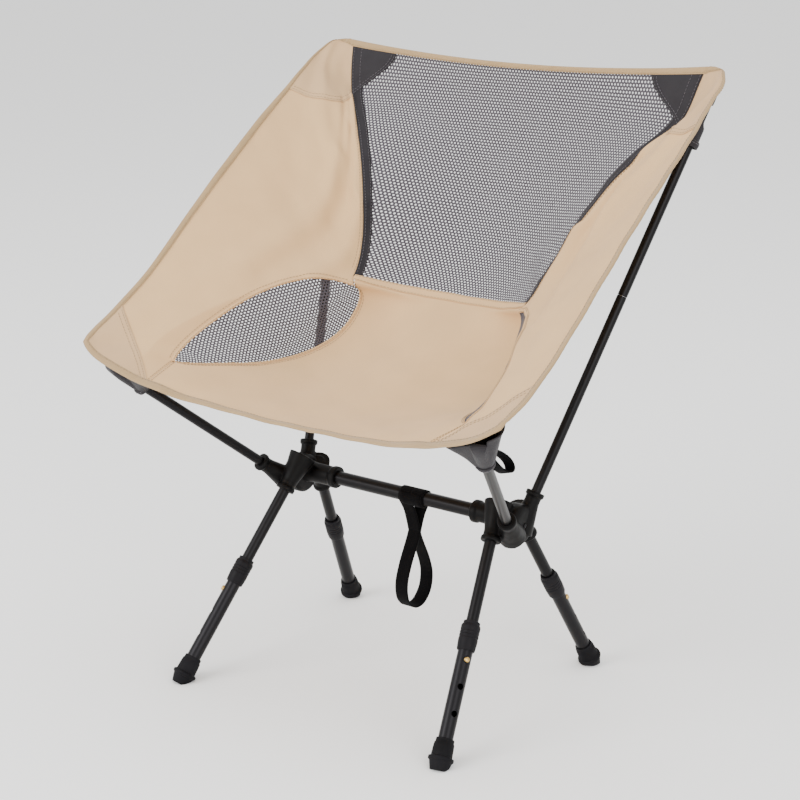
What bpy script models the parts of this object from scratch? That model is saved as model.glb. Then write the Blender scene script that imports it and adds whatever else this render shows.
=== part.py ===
"""Ultralight camping chair: two nylon hubs on a crossbar carry four telescopic
legs, four seat poles and a sling seat with a mesh back.

Metres, +Z up, the sitter faces -Y. Every frame line is given for the right half
of the chair (+X) and mirrored for the left. Distances "along" a leg or a pole run
from the point where its line starts inside the hub towards its foot or tip.
"""

import math

import bmesh
import bpy
from mathutils import Matrix, Vector

# The crossbar's axis sits at this height, and this far behind the chair's middle.
BAR_HEIGHT = 0.2083
BAR_Y = 0.0011
BAR_HALF_LENGTH = 0.132
BAR_RADIUS = 0.0080

# Frame lines of the right half, from their start inside the hub, y from the crossbar.
LEG_START = Vector((0.1314, -0.0027, 0.2455))
FRONT_FOOT = Vector((0.1764, -0.1869, 0.0))
REAR_FOOT = Vector((0.1734, 0.1340, 0.0))
POLE_START = Vector((0.1450, 0.0007, 0.1836))
FRONT_TIP = Vector((0.2361, -0.2152, 0.3659))
REAR_TIP = Vector((0.2456, 0.2268, 0.6619))

# Tubes.
SIDES = 16
GAP = 0.0003
WALL = 0.0011
UPPER_LEG_RADIUS = 0.0065
LOWER_LEG_RADIUS = 0.0080
POLE_RADIUS = 0.0055
BORE_PLAY = 0.00035

# Hub sockets: where each tube's blind bore ends and its mouth opens, along its line.
SOCKETS = {
    "front_leg": (0.034, 0.064),
    "rear_leg": (0.050, 0.076),
    "front_pole": (0.036, 0.072),
    "rear_pole": (0.027, 0.059),
}
LEG_SOCKET_RADIUS = 0.0094
POLE_SOCKET_RADIUS = 0.0086
SOCKET_RING = 0.0016
RING_LENGTH = 0.0045
BARREL_MOUTH_X = 0.0935
BARREL_RADIUS = 0.0114
HUB_DISC_RADIUS = 0.0225
HUB_INNER_X = 0.1375
HUB_OUTER_X = 0.1590
HUB_CENTRE_Z = 0.2050

# Legs: distances up from the foot's point on the ground.
COLLAR_TOP = {"front": 0.157, "rear": 0.148}
COLLAR_LENGTH = 0.032
COLLAR_LIP = 0.0037
BUTTON_BELOW_COLLAR = 0.010
HOLE_PITCH = 0.029
HOLE_COUNT = 3
UPPER_LEG_BELOW_BUTTON = 0.020
LOWER_LEG_END = 0.012
FOOT_CAP_TOP = 0.031

# Snap button, its leaf spring and the shock cord that holds a leg in its hub.
BUTTON_RADIUS = 0.0030
BUTTON_HOLE_RADIUS = 0.0034
BUTTON_BASE = 0.0041
BUTTON_CROWN = 0.0102
SPRING_WIDTH = 0.0050
SPRING_THICKNESS = 0.0004
CORD_RADIUS = 0.0014
CORD_LENGTH = 0.085

# Seat poles.
REAR_POLE_JOINT = 0.290
FERRULE_LENGTH = 0.080
TIP_RADIUS = 0.0070
TIP_LENGTH = 0.022
TIP_SEAT = 0.006

# Sling cloth.
CLOTH = 0.0020
BINDING_WIDTH = 0.0050
BINDING_THICKNESS = 0.0030
PANEL_INSET = 0.0064
CORNER_PULL = 0.010
CORNER_LIFT = 0.018
CORNER_POWER = 14
FRONT_EDGE_SAG = Vector((0.0, -0.008, -0.014))
SEAM_ROW = 0.5
PANEL_GAP = 0.0016

# The sling's three rails, front edge to top edge at equal steps: along the middle
# (y, z), along the seam between the seat or back and the wing, and along the outer edge.
MIDDLE_RAIL = [
    (-0.205, 0.338), (-0.140, 0.334), (-0.080, 0.337), (-0.020, 0.350),
    (0.040, 0.372), (0.112, 0.412), (0.158, 0.455), (0.190, 0.510),
    (0.210, 0.568), (0.222, 0.622), (0.225, 0.668),
]
SEAM_RAIL = [
    (0.130, -0.214, 0.345), (0.126, -0.152, 0.357), (0.123, -0.095, 0.371),
    (0.120, -0.038, 0.389), (0.117, 0.014, 0.410), (0.116, 0.060, 0.431),
    (0.128, 0.094, 0.470), (0.152, 0.126, 0.529), (0.184, 0.160, 0.582),
    (0.222, 0.198, 0.622), (0.237, 0.223, 0.681),
]
EDGE_RAIL = [
    (0.271, -0.238, 0.387), (0.272, -0.182, 0.412), (0.271, -0.120, 0.449),
    (0.272, -0.062, 0.493), (0.273, -0.005, 0.536), (0.274, 0.045, 0.571),
    (0.275, 0.090, 0.601), (0.274, 0.130, 0.626), (0.272, 0.165, 0.650),
    (0.270, 0.195, 0.669), (0.264, 0.224, 0.684),
]

# Side window: a leaf between the wing and the seat, across (0 middle, 0.5 seam,
# 1 edge) and along the sling (0 front, 1 top).
WINDOW_FRONT = (0.690, 0.074)
WINDOW_REAR = (0.490, 0.482)
WINDOW_RISE = 0.095
WINDOW_DROP = 0.200
WINDOW_FULLNESS = 0.7
WELL_SHIFT = Vector((0.0306, 0.0386, -0.0133))
WELL_FLARE = 0.12
WELL_FLARE_END = 0.30

# Corner pockets, pull tabs and the hanging strap.
POCKET_WALL = 0.0016
FRONT_POCKET_LENGTH = 0.064
REAR_POCKET_LENGTH = 0.072
POCKET_CLEARANCE = 0.0055
TAB_WIDTH = 0.012
TAB_THICKNESS = 0.0014
TAB_REACH = 0.036
TAB_HALF_HEIGHT = 0.008
STRAP_X = 0.014
STRAP_WIDTH = 0.015
STRAP_THICKNESS = 0.0016
HITCH_WIDTH = 0.030
HITCH_THICKNESS = 0.0020
LOOP_TOP_Z = 0.158
LOOP_BOTTOM_Z = 0.077
LOOP_SPREAD = 0.033

for old in list(bpy.data.objects):
    bpy.data.objects.remove(old, do_unlink=True)

CHAIR = bpy.data.objects.new("chair", None)
CHAIR.location = (0.0, BAR_Y, 0.0)
bpy.context.scene.collection.objects.link(CHAIR)


# ---------------------------------------------------------------- materials

def material(name, colour, roughness, metallic=0.0):
    made = bpy.data.materials.new(name)
    made.use_nodes = True
    shader = made.node_tree.nodes["Principled BSDF"]
    shader.inputs["Base Color"].default_value = (*colour, 1.0)
    shader.inputs["Roughness"].default_value = roughness
    shader.inputs["Metallic"].default_value = metallic
    return made


TUBE = material("black_anodised_tube", (0.020, 0.019, 0.020), 0.38, 0.85)
NYLON = material("black_nylon", (0.014, 0.013, 0.013), 0.50)
RUBBER = material("black_rubber", (0.020, 0.020, 0.022), 0.75)
BRASS = material("brass", (0.62, 0.47, 0.22), 0.32, 1.0)
STEEL = material("spring_steel", (0.45, 0.45, 0.46), 0.30, 1.0)
CORD = material("shock_cord", (0.03, 0.03, 0.03), 0.80)
CANVAS = material("tan_oxford_cloth", (0.62, 0.49, 0.36), 0.85)
BINDING = material("tan_binding", (0.42, 0.34, 0.25), 0.85)
MESH_CLOTH = material("black_mesh_cloth", (0.10, 0.09, 0.10), 0.80)
WEBBING = material("black_webbing", (0.018, 0.018, 0.020), 0.80)


# ------------------------------------------------------------ mesh helpers

def add_object(name, mesh, finish, matrix=None, parent=CHAIR):
    """Links a mesh as a named object under its parent, smooth on its round faces."""
    made = bpy.data.objects.new(name, mesh)
    bpy.context.scene.collection.objects.link(made)
    mesh.materials.append(finish)
    mesh.shade_smooth()
    mesh.set_sharp_from_angle(angle=math.radians(35))
    made.parent = parent
    made.matrix_local = matrix or Matrix.Identity(4)
    return made


def helper(made):
    """Marks an object as a guide or a cutter, which is no piece of the chair."""
    made.hide_render = True
    made.display_type = "WIRE"
    return made


def mesh_of(name, points, faces):
    mesh = bpy.data.meshes.new(name)
    work = bmesh.new()
    corners = [work.verts.new(point) for point in points]
    for face in faces:
        work.faces.new([corners[index] for index in face])
    bmesh.ops.recalc_face_normals(work, faces=work.faces)
    work.to_mesh(mesh)
    work.free()
    return mesh


def turned_mesh(name, profile, sides=SIDES):
    """Turns (radius, z) points about Z. A profile that starts and ends on the axis
    closes itself there, and any other is taken as a loop round a hollow."""
    solid = profile[0][0] == 0.0
    points = []
    rings = []
    for radius, z in profile:
        count = sides if radius else 1
        rings.append(range(len(points), len(points) + count))
        for step in range(count):
            angle = math.tau * (step + 0.5) / sides
            points.append((radius * math.cos(angle), radius * math.sin(angle), z))
    pairs = list(zip(rings, rings[1:]))
    if not solid:
        pairs.append((rings[-1], rings[0]))
    faces = []
    for low, high in pairs:
        for step in range(sides):
            turn = (step + 1) % sides
            face = [low[step % len(low)], low[turn % len(low)]]
            face += [high[turn % len(high)], high[step % len(high)]]
            faces.append(list(dict.fromkeys(face)))
    return mesh_of(name, points, faces)


def tube_profile(radius, start, end, wall=WALL):
    inner = radius - wall
    return [(inner, start), (radius, start), (radius, end), (inner, end)]


def rod_profile(radius, start, end):
    return [(0.0, start), (radius, start), (radius, end), (0.0, end)]


def line_matrix(start, end, side_hint):
    """A frame at start whose Z runs to end and whose X leans towards side_hint."""
    along = (end - start).normalized()
    across = (side_hint - along * side_hint.dot(along)).normalized()
    frame = Matrix((across, along.cross(across), along)).transposed().to_4x4()
    frame.translation = start
    return frame


def mirrored(point, sign):
    return Vector((point[0] * sign, point[1], point[2]))


def boolean(target, tool, operation="DIFFERENCE"):
    modifier = target.modifiers.new(operation.title(), "BOOLEAN")
    modifier.operation = operation
    modifier.solver = "EXACT"
    if isinstance(tool, bpy.types.Collection):
        modifier.operand_type = "COLLECTION"
        modifier.collection = tool
    else:
        modifier.object = tool


def thicken(made, thickness):
    """Gives a sheet its thickness, half to each side."""
    modifier = made.modifiers.new("Thickness", "SOLIDIFY")
    modifier.thickness = thickness
    modifier.offset = 0.0
    modifier.use_even_offset = False


def grid_faces(rows, columns, closed=False):
    faces = []
    for row in range(rows if closed else rows - 1):
        below = (row + 1) % rows
        for column in range(columns - 1):
            first, second = row * columns + column, below * columns + column
            faces.append((first, first + 1, second + 1, second))
    return faces


def ribbon(name, path, width, finish, thickness, closed=True, parent=CHAIR, matrix=None):
    """A flat strip that follows a path, its width along the given vector."""
    half = width / 2
    points = [point + half * step for point in path for step in (-1, 1)]
    mesh = mesh_of(name, points, grid_faces(len(path), 2, closed))
    made = add_object(name, mesh, finish, matrix, parent)
    thicken(made, thickness)
    return made


# ------------------------------------------------------------------- frame

OUTWARD = {"front": Vector((0.76, -0.65, 0.0)), "rear": Vector((0.76, 0.65, 0.0))}


def frame_line(kind, sign):
    """The matrix and the length of one leg's or pole's line."""
    end, row = kind.split("_")
    start = LEG_START if row == "leg" else POLE_START
    ends = {
        "front_leg": FRONT_FOOT, "rear_leg": REAR_FOOT,
        "front_pole": FRONT_TIP, "rear_pole": REAR_TIP,
    }
    first, last = mirrored(start, sign), mirrored(ends[kind], sign)
    matrix = line_matrix(first, last, mirrored(OUTWARD[end], sign))
    return matrix, (last - first).length


def socket_profile(radius, start, mouth):
    """A socket's outside: a barrel with a raised ring round its mouth."""
    ring = radius + SOCKET_RING
    return [
        (0.0, start), (radius + 0.0004, start), (radius, mouth - RING_LENGTH - 0.0008),
        (ring, mouth - RING_LENGTH), (ring, mouth - 0.0006), (ring - 0.0006, mouth),
        (0.0, mouth),
    ]


def mirrored_copy(name, original):
    """The same solid on the other side of the chair."""
    bpy.context.view_layer.update()
    graph = bpy.context.evaluated_depsgraph_get()
    mesh = bpy.data.meshes.new_from_object(original.evaluated_get(graph))
    mesh.transform(Matrix.Scale(-1, 4, (1.0, 0.0, 0.0)) @ original.matrix_local)
    mesh.flip_normals()
    mesh.materials.clear()
    return add_object(name, mesh, original.active_material)


def hub(side, sign):
    """One moulded hub: a disc on the crossbar's barrel, a socket for each tube, and
    the blind bores that the tubes push into."""
    across = Matrix.Rotation(sign * math.pi / 2, 4, "Y")
    centre = Matrix.Translation((0.0, -0.001, HUB_CENTRE_Z)) @ across
    disc = [
        (0.0, HUB_INNER_X), (0.0190, HUB_INNER_X), (HUB_DISC_RADIUS, HUB_INNER_X + 0.003),
        (HUB_DISC_RADIUS, HUB_OUTER_X - 0.004), (0.0195, HUB_OUTER_X - 0.0008),
        (0.0150, HUB_OUTER_X), (0.0, HUB_OUTER_X),
    ]
    body = add_object("hub_" + side, turned_mesh("hub_" + side, disc, 24), NYLON, centre)
    joined = bpy.data.collections.new("hub_%s_sockets" % side)
    bored = bpy.data.collections.new("hub_%s_bores" % side)

    def shape(group, name, profile, matrix, sides=SIDES):
        full = "%s_%s" % (group.name, name)
        made = helper(add_object(full, turned_mesh(full, profile, sides), NYLON, matrix))
        bpy.context.scene.collection.objects.unlink(made)
        group.objects.link(made)

    bar_axis = Matrix.Translation((0.0, 0.0, BAR_HEIGHT)) @ across
    ring = BARREL_RADIUS + 0.0014
    barrel = [
        (0.0, BARREL_MOUTH_X), (ring - 0.0006, BARREL_MOUTH_X), (ring, BARREL_MOUTH_X + 0.0006),
        (ring, BARREL_MOUTH_X + 0.0070), (BARREL_RADIUS, BARREL_MOUTH_X + 0.0080),
        (0.0135, HUB_INNER_X + 0.004), (0.0, HUB_INNER_X + 0.004),
    ]
    shape(joined, "barrel", barrel, bar_axis, 20)
    bore = rod_profile(BAR_RADIUS + BORE_PLAY, BARREL_MOUTH_X - 0.01, BAR_HALF_LENGTH + GAP)
    shape(bored, "barrel", bore, bar_axis)
    for kind, (blind, mouth) in SOCKETS.items():
        matrix, _ = frame_line(kind, sign)
        is_leg = kind.endswith("leg")
        radius = LEG_SOCKET_RADIUS if is_leg else POLE_SOCKET_RADIUS
        tube = UPPER_LEG_RADIUS if is_leg else POLE_RADIUS
        start = blind - 0.016
        shape(joined, kind, socket_profile(radius, start, mouth), matrix)
        web = mouth - RING_LENGTH - 0.003
        root = start + 0.0013
        flare = [(0.0, root), (radius + 0.0065, root), (radius - 0.0015, web), (0.0, web)]
        shape(joined, kind + "_root", flare, matrix, 10)
        bore = rod_profile(tube + BORE_PLAY, blind - GAP, mouth + 0.010)
        shape(bored, kind, bore, matrix)
    for group in (joined, bored):
        bpy.context.scene.collection.children.link(group)
    boolean(body, joined, "UNION")
    rivet_seat = rod_profile(0.0032, HUB_OUTER_X - 0.0012, HUB_OUTER_X + 0.004)
    shape(bored, "rivet", rivet_seat, centre, 12)
    boolean(body, bored)
    return body


def hub_rivet(side, sign):
    across = Matrix.Rotation(sign * math.pi / 2, 4, "Y")
    centre = Matrix.Translation((0.0, -0.001, HUB_CENTRE_Z)) @ across
    rivet = [
        (0.0, HUB_OUTER_X - 0.0009), (0.0028, HUB_OUTER_X - 0.0009),
        (0.0028, HUB_OUTER_X + 0.0002), (0.0019, HUB_OUTER_X + 0.0010),
        (0.0, HUB_OUTER_X + 0.0012),
    ]
    name = "hub_rivet_" + side
    add_object(name, turned_mesh(name, rivet, 12), STEEL, centre)


def crossbar():
    matrix = Matrix.Translation((0.0, 0.0, BAR_HEIGHT)) @ Matrix.Rotation(math.pi / 2, 4, "Y")
    profile = tube_profile(BAR_RADIUS, -BAR_HALF_LENGTH, BAR_HALF_LENGTH)
    add_object("crossbar", turned_mesh("crossbar", profile), TUBE, matrix)


# -------------------------------------------------------------------- legs

def cross_hole(name, radius, along, matrix, inner=0.0, outer=0.014):
    """A cutter for a hole through one wall of a tube, facing local X."""
    place = matrix @ Matrix.Translation((0.0, 0.0, along)) @ Matrix.Rotation(math.pi / 2, 4, "Y")
    drill = turned_mesh(name, rod_profile(radius, inner, outer), 12)
    return helper(add_object(name, drill, BRASS, place))


def upper_leg(prefix, kind, matrix, button):
    blind, _ = SOCKETS[kind]
    profile = tube_profile(UPPER_LEG_RADIUS, blind, button + UPPER_LEG_BELOW_BUTTON)
    name = prefix + "_upper_leg"
    tube = add_object(name, turned_mesh(name, profile), TUBE, matrix)
    boolean(tube, cross_hole(name + "_hole", BUTTON_HOLE_RADIUS, button, matrix))
    knot = blind + CORD_LENGTH
    cord = [
        (0.0, blind), (CORD_RADIUS, blind), (CORD_RADIUS, knot - 0.004),
        (0.0036, knot - 0.002), (0.0036, knot + 0.002), (CORD_RADIUS, knot + 0.004),
        (0.0, knot + 0.004),
    ]
    name = prefix + "_shock_cord"
    add_object(name, turned_mesh(name, cord, 8), CORD, matrix)


def lower_leg(prefix, matrix, length, collar_top, button):
    top = collar_top + COLLAR_LIP
    profile = tube_profile(LOWER_LEG_RADIUS, top, length - LOWER_LEG_END)
    name = prefix + "_lower_leg"
    tube = add_object(name, turned_mesh(name, profile), TUBE, matrix)
    for number in range(HOLE_COUNT):
        along = button + number * HOLE_PITCH
        cutter = "%s_hole_%d" % (name, number + 1)
        boolean(tube, cross_hole(cutter, BUTTON_HOLE_RADIUS, along, matrix))


def collar(prefix, matrix, top):
    """A sleeve fixed on the lower tube, whose lip guides the upper one."""
    around_upper = UPPER_LEG_RADIUS + BORE_PLAY
    around_lower = LOWER_LEG_RADIUS + BORE_PLAY
    inside = top + COLLAR_LIP - GAP
    bottom = top + COLLAR_LENGTH
    profile = [
        (around_upper, top), (0.0088, top), (0.0088, top + 0.0032), (0.0101, top + 0.0045),
        (0.0104, bottom - 0.010), (0.0094, bottom), (around_lower, bottom),
        (around_lower, inside), (around_upper, inside),
    ]
    name = prefix + "_collar"
    add_object(name, turned_mesh(name, profile), NYLON, matrix)


def foot_cap(prefix, matrix, length, ground):
    """A rubber ferrule with a flange, cut flat where it stands on the ground."""
    top = length - FOOT_CAP_TOP
    around = LOWER_LEG_RADIUS + BORE_PLAY
    floor = length - LOWER_LEG_END + GAP
    profile = [
        (0.0, floor), (around, floor), (around, top), (0.0096, top), (0.0098, top + 0.004),
        (0.0107, top + 0.005), (0.0114, length - 0.0118), (0.0136, length - 0.0110),
        (0.0136, length - 0.0080), (0.0118, length - 0.0068), (0.0090, length + 0.003),
        (0.0, length + 0.003),
    ]
    name = prefix + "_foot_cap"
    cap = add_object(name, turned_mesh(name, profile), RUBBER, matrix)
    boolean(cap, ground)


def snap_button(prefix, matrix, button):
    place = matrix @ Matrix.Translation((0.0, 0.0, button)) @ Matrix.Rotation(math.pi / 2, 4, "Y")
    profile = [
        (0.0, BUTTON_BASE), (BUTTON_RADIUS, BUTTON_BASE), (BUTTON_RADIUS, BUTTON_CROWN - 0.0012),
        (0.0022, BUTTON_CROWN - 0.0003), (0.0, BUTTON_CROWN),
    ]
    name = prefix + "_snap_button"
    add_object(name, turned_mesh(name, profile, 12), BRASS, place)
    # The leaf spring is a hairpin: one leaf under the button, one on the far wall.
    near, far, fold = 0.0035, -0.0040, 0.015
    bend = (near - 0.0008 - far) / 2
    middle = far + bend
    path = [Vector((near, 0.0, -0.006)), Vector((near - 0.0008, 0.0, 0.006))]
    for step in range(5):
        angle = math.pi * step / 4
        x, z = middle + bend * math.cos(angle), fold - bend + bend * math.sin(angle)
        path.append(Vector((x, 0.0, z)))
    path.append(Vector((far, 0.0, -0.004)))
    place = matrix @ Matrix.Translation((0.0, 0.0, button))
    half = Vector((0.0, SPRING_WIDTH, 0.0))
    name = prefix + "_button_spring"
    ribbon(name, path, half, STEEL, SPRING_THICKNESS, closed=False, matrix=place)


def leg(end, side, sign, ground):
    prefix = "%s_%s" % (end, side)
    kind = end + "_leg"
    matrix, length = frame_line(kind, sign)
    collar_top = length - COLLAR_TOP[end]
    button = collar_top + COLLAR_LENGTH + BUTTON_BELOW_COLLAR
    upper_leg(prefix, kind, matrix, button)
    lower_leg(prefix, matrix, length, collar_top, button)
    collar(prefix, matrix, collar_top)
    foot_cap(prefix, matrix, length, ground)
    snap_button(prefix, matrix, button)


# -------------------------------------------------------------- seat poles

def pole_tip(prefix, matrix, length):
    """A plastic cap on a pole's end, round where it bears on the pocket."""
    around = POLE_RADIUS + BORE_PLAY
    start = length - TIP_LENGTH
    floor = length - TIP_SEAT + GAP
    profile = [
        (0.0, floor), (around, floor), (around, start), (TIP_RADIUS - 0.0004, start),
        (TIP_RADIUS, start + 0.0006), (TIP_RADIUS, length - 0.004),
        (TIP_RADIUS * 0.78, length - 0.0012), (TIP_RADIUS * 0.35, length), (0.0, length),
    ]
    name = prefix + "_pole_tip"
    add_object(name, turned_mesh(name, profile), NYLON, matrix)


def seat_poles(side, sign):
    matrix, length = frame_line("front_pole", sign)
    blind, _ = SOCKETS["front_pole"]
    name = "front_%s_pole" % side
    profile = tube_profile(POLE_RADIUS, blind, length - TIP_SEAT)
    add_object(name, turned_mesh(name, profile), TUBE, matrix)
    pole_tip("front_" + side, matrix, length)

    matrix, length = frame_line("rear_pole", sign)
    blind, _ = SOCKETS["rear_pole"]
    sections = {
        "lower": (blind, REAR_POLE_JOINT - GAP / 2),
        "upper": (REAR_POLE_JOINT + GAP / 2, length - TIP_SEAT),
    }
    for section, (start, end) in sections.items():
        name = "rear_%s_pole_%s" % (side, section)
        add_object(name, turned_mesh(name, tube_profile(POLE_RADIUS, start, end)), TUBE, matrix)
    half = FERRULE_LENGTH / 2
    name = "rear_%s_pole_ferrule" % side
    inner = POLE_RADIUS - WALL - GAP
    profile = tube_profile(inner, REAR_POLE_JOINT - half, REAR_POLE_JOINT + half, 0.0008)
    add_object(name, turned_mesh(name, profile), STEEL, matrix)
    pole_tip("rear_" + side, matrix, length)


# ------------------------------------------------------------------- sling

def rail_point(rail, along):
    """The point at this share of a rail, on a smooth curve through its points."""
    spans = len(rail) - 1
    place = min(max(along, 0.0), 1.0) * spans
    index = min(int(place), spans - 1)
    part = place - index
    first, second = Vector(rail[index]), Vector(rail[index + 1])
    before = Vector(rail[index - 1]) if index else 2 * first - second
    after = Vector(rail[index + 2]) if index + 2 <= spans else 2 * second - first
    linear = (second - before) * part
    square = (2 * before - 5 * first + 4 * second - after) * part**2
    cube = (3 * first - before - 3 * second + after) * part**3
    return (2 * first + linear + square + cube) / 2


MIDDLE_POINTS = [(0.0, y, z) for y, z in MIDDLE_RAIL]


def rails_at(along):
    """The middle, seam and edge points of one row, the edge drawn in at the corners."""
    middle = rail_point(MIDDLE_POINTS, along)
    seam = rail_point(SEAM_RAIL, along)
    edge = rail_point(EDGE_RAIL, along)
    pull = CORNER_PULL * abs(2 * along - 1) ** CORNER_POWER
    return middle, seam, edge + (seam - edge).normalized() * pull


def window_edges(along):
    """Across, the window's lower and upper edge at this share along the sling."""
    part = (along - WINDOW_FRONT[1]) / (WINDOW_REAR[1] - WINDOW_FRONT[1])
    part = min(max(part, 0.0), 1.0)
    chord = WINDOW_FRONT[0] + (WINDOW_REAR[0] - WINDOW_FRONT[0]) * part
    bulge = (4 * part * (1 - part)) ** WINDOW_FULLNESS
    return chord - WINDOW_DROP * bulge, chord + WINDOW_RISE * bulge


def seat_well(share, along):
    """How much of the well's shift a point takes. The seat sinks and widens beside
    the hips, so each side window stands up steeply between seat and wing."""
    if along >= WINDOW_REAR[1]:
        return 0.0
    low, high = window_edges(along)
    high += WELL_FLARE * max(0.0, 1 - along / WELL_FLARE_END)
    if share < low:
        rise = share / low
        part = rise * rise * (3 - 2 * rise)
    else:
        part = max(0.0, high - share) / max(high - low, GAP)
    return part * math.sin(math.pi * max(along, 0.0) / WINDOW_REAR[1])


def sling_point(across, along):
    """A point of the sling: across runs from -1 (left edge) to 1, along from 0
    (front edge) to 1 (top edge). The seat and back bow between their side seams,
    and a wing runs nearly straight from the seam out to the edge."""
    share = abs(across)
    from_middle = 2 * along - 1
    row = 0.5 + from_middle * (1 - CORNER_LIFT * share**CORNER_POWER) / 2
    middle, seam, edge = rails_at(row)
    if share <= SEAM_ROW:
        part = share / SEAM_ROW
        point = middle + (seam - middle) * part**2
        point.x = seam.x * part
    else:
        part = (share - SEAM_ROW) / (1 - SEAM_ROW)
        sag = 4 * part * (1 - part) * max(0.0, 1 - row / 0.15) ** 2
        point = seam.lerp(edge, part) + FRONT_EDGE_SAG * sag
    point += WELL_SHIFT * seat_well(share, along)
    return mirrored(point, -1 if across < 0 else 1)


def edge_across(along, inset):
    """How far across the wing reaches when it stops this far inside the edge."""
    _, seam, edge = rails_at(along)
    return 1 - (1 - SEAM_ROW) * inset / (edge - seam).length


def end_along(inset):
    """How far along the sling starts and ends when it stops inside its edges."""
    front = (rail_point(MIDDLE_POINTS, 0.1) - rail_point(MIDDLE_POINTS, 0.0)).length
    top = (rail_point(MIDDLE_POINTS, 1.0) - rail_point(MIDDLE_POINTS, 0.9)).length
    return 0.1 * inset / front, 1 - 0.1 * inset / top


def across_gap(along):
    """Half the gap between two panels, as a share across."""
    _, seam, edge = rails_at(along)
    return (1 - SEAM_ROW) * PANEL_GAP / (edge - seam).length


def steps(start, end, count):
    return [start + (end - start) * step / (count - 1) for step in range(count)]


def panel(name, finish, rows):
    """A cloth panel through rows of (across, along) places."""
    points = [sling_point(across, along) for row in rows for across, along in row]
    mesh = mesh_of(name, points, grid_faces(len(rows), len(rows[0])))
    thicken(add_object(name, mesh, finish), CLOTH)


def spread(along, start, end, count):
    return [(across, along) for across in steps(start, end, count)]


def sling():
    first, last = end_along(PANEL_INSET)
    seam_gap = 0.0012

    rows = []
    for along in steps(first, SEAM_ROW - seam_gap, 12):
        limit = window_edges(along)[0] - across_gap(along)
        rows.append(spread(along, -limit, limit, 13))
    panel("seat_panel", CANVAS, rows)

    rows = []
    for along in steps(SEAM_ROW + seam_gap, last, 11):
        limit = SEAM_ROW - across_gap(along)
        rows.append(spread(along, -limit, limit, 11))
    panel("back_mesh", MESH_CLOTH, rows)

    for side, sign in (("left", -1), ("right", 1)):
        rows = []
        for along in steps(first, last, 25):
            inner = window_edges(along)[1] if along < WINDOW_REAR[1] else SEAM_ROW
            inner += across_gap(along)
            outer = edge_across(along, PANEL_INSET)
            rows.append(spread(along, sign * inner, sign * outer, 6))
        panel("wing_" + side, CANVAS, rows)

        rows = []
        for along in steps(WINDOW_FRONT[1] + 0.012, WINDOW_REAR[1] - 0.006, 15):
            low, high = window_edges(along)
            gap = across_gap(along)
            rows.append(spread(along, sign * (low + gap), sign * (high - gap), 5))
        panel("side_window_" + side, MESH_CLOTH, rows)


def outline(inset):
    """Points round the sling, this far inside its edge, from the front left corner."""
    first, last = end_along(inset)
    share = 24
    points = []
    limit = edge_across(first, inset)
    points += [sling_point(across, first) for across in steps(-limit, limit, share)[:-1]]
    for along in steps(first, last, share)[:-1]:
        points.append(sling_point(edge_across(along, inset), along))
    limit = edge_across(last, inset)
    points += [sling_point(across, last) for across in steps(limit, -limit, share)[:-1]]
    for along in steps(last, first, share)[:-1]:
        points.append(sling_point(-edge_across(along, inset), along))
    return points


def edge_binding():
    outer, inner = outline(0.0), outline(BINDING_WIDTH)
    points = [point for pair in zip(outer, inner) for point in pair]
    mesh = mesh_of("edge_binding", points, grid_faces(len(outer), 2, closed=True))
    thicken(add_object("edge_binding", mesh, BINDING), BINDING_THICKNESS)


def below_sling(across, along, depth):
    """A point under or behind the sling, square to it."""
    small = 0.004
    here = sling_point(across, along)
    sideways = sling_point(across + small, along) - sling_point(across - small, along)
    forwards = sling_point(across, along + small) - sling_point(across, along - small)
    return here - sideways.cross(forwards).normalized() * depth


def corner_pocket(end, side, sign):
    """A gusset under the sling's corner, open at its small end for the pole."""
    matrix, length = frame_line(end + "_pole", sign)
    if end == "front":
        corners = [(0.95, 0.020), (0.80, 0.020), (0.72, 0.030), (0.93, 0.085), (0.95, 0.050)]
        mouth = length - FRONT_POCKET_LENGTH
    else:
        corners = [
            (0.66, 0.970), (0.50, 0.975), (0.46, 0.965), (0.46, 0.930), (0.50, 0.915), (0.62, 0.935),
        ]
        mouth = length - REAR_POCKET_LENGTH
    work = bmesh.new()
    for across, along in corners:
        work.verts.new(below_sling(sign * across, along, POCKET_CLEARANCE))
    radius = TIP_RADIUS + POCKET_WALL + GAP
    rings = ((mouth, radius), (length - 0.002, radius), (length + 0.003, 0.6 * radius))
    sides = 12
    for along, wide in rings:
        for step in range(sides):
            angle = math.tau * step / sides
            local = Vector((wide * math.cos(angle), wide * math.sin(angle), along))
            work.verts.new(matrix @ local)
    hull = bmesh.ops.convex_hull(work, input=work.verts)
    spare = [v for v in hull["geom_interior"] if isinstance(v, bmesh.types.BMVert)]
    bmesh.ops.delete(work, geom=spare, context="VERTS")
    bmesh.ops.recalc_face_normals(work, faces=work.faces)
    name = "%s_%s_pocket" % (end, side)
    mesh = bpy.data.meshes.new(name)
    work.to_mesh(mesh)
    work.free()
    pocket = add_object(name, mesh, WEBBING)
    bore = rod_profile(TIP_RADIUS + BORE_PLAY, mouth - 0.02, length + GAP)
    boolean(pocket, helper(add_object(name + "_bore", turned_mesh(name, bore), WEBBING, matrix)))


def pull_tab(side, sign):
    """A webbing loop that hangs off the front pocket's rear side."""
    matrix, length = frame_line("front_pole", sign)
    root = matrix @ Vector((0.0, 0.0, length - FRONT_POCKET_LENGTH * 0.72))
    root += Vector((sign * 0.004, 0.0220, 0.0))
    along = Vector((sign * 0.25, 0.95, -0.20)).normalized()
    up = Vector((0.0, 0.21, 0.98))
    path = []
    for step in range(16):
        angle = math.tau * step / 16
        reach = TAB_REACH * (1 - math.cos(angle)) / 2
        path.append(root + along * reach + up * TAB_HALF_HEIGHT * math.sin(angle))
    width = along.cross(up).normalized() * TAB_WIDTH
    ribbon("pull_tab_" + side, path, width, WEBBING, TAB_THICKNESS)


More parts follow.
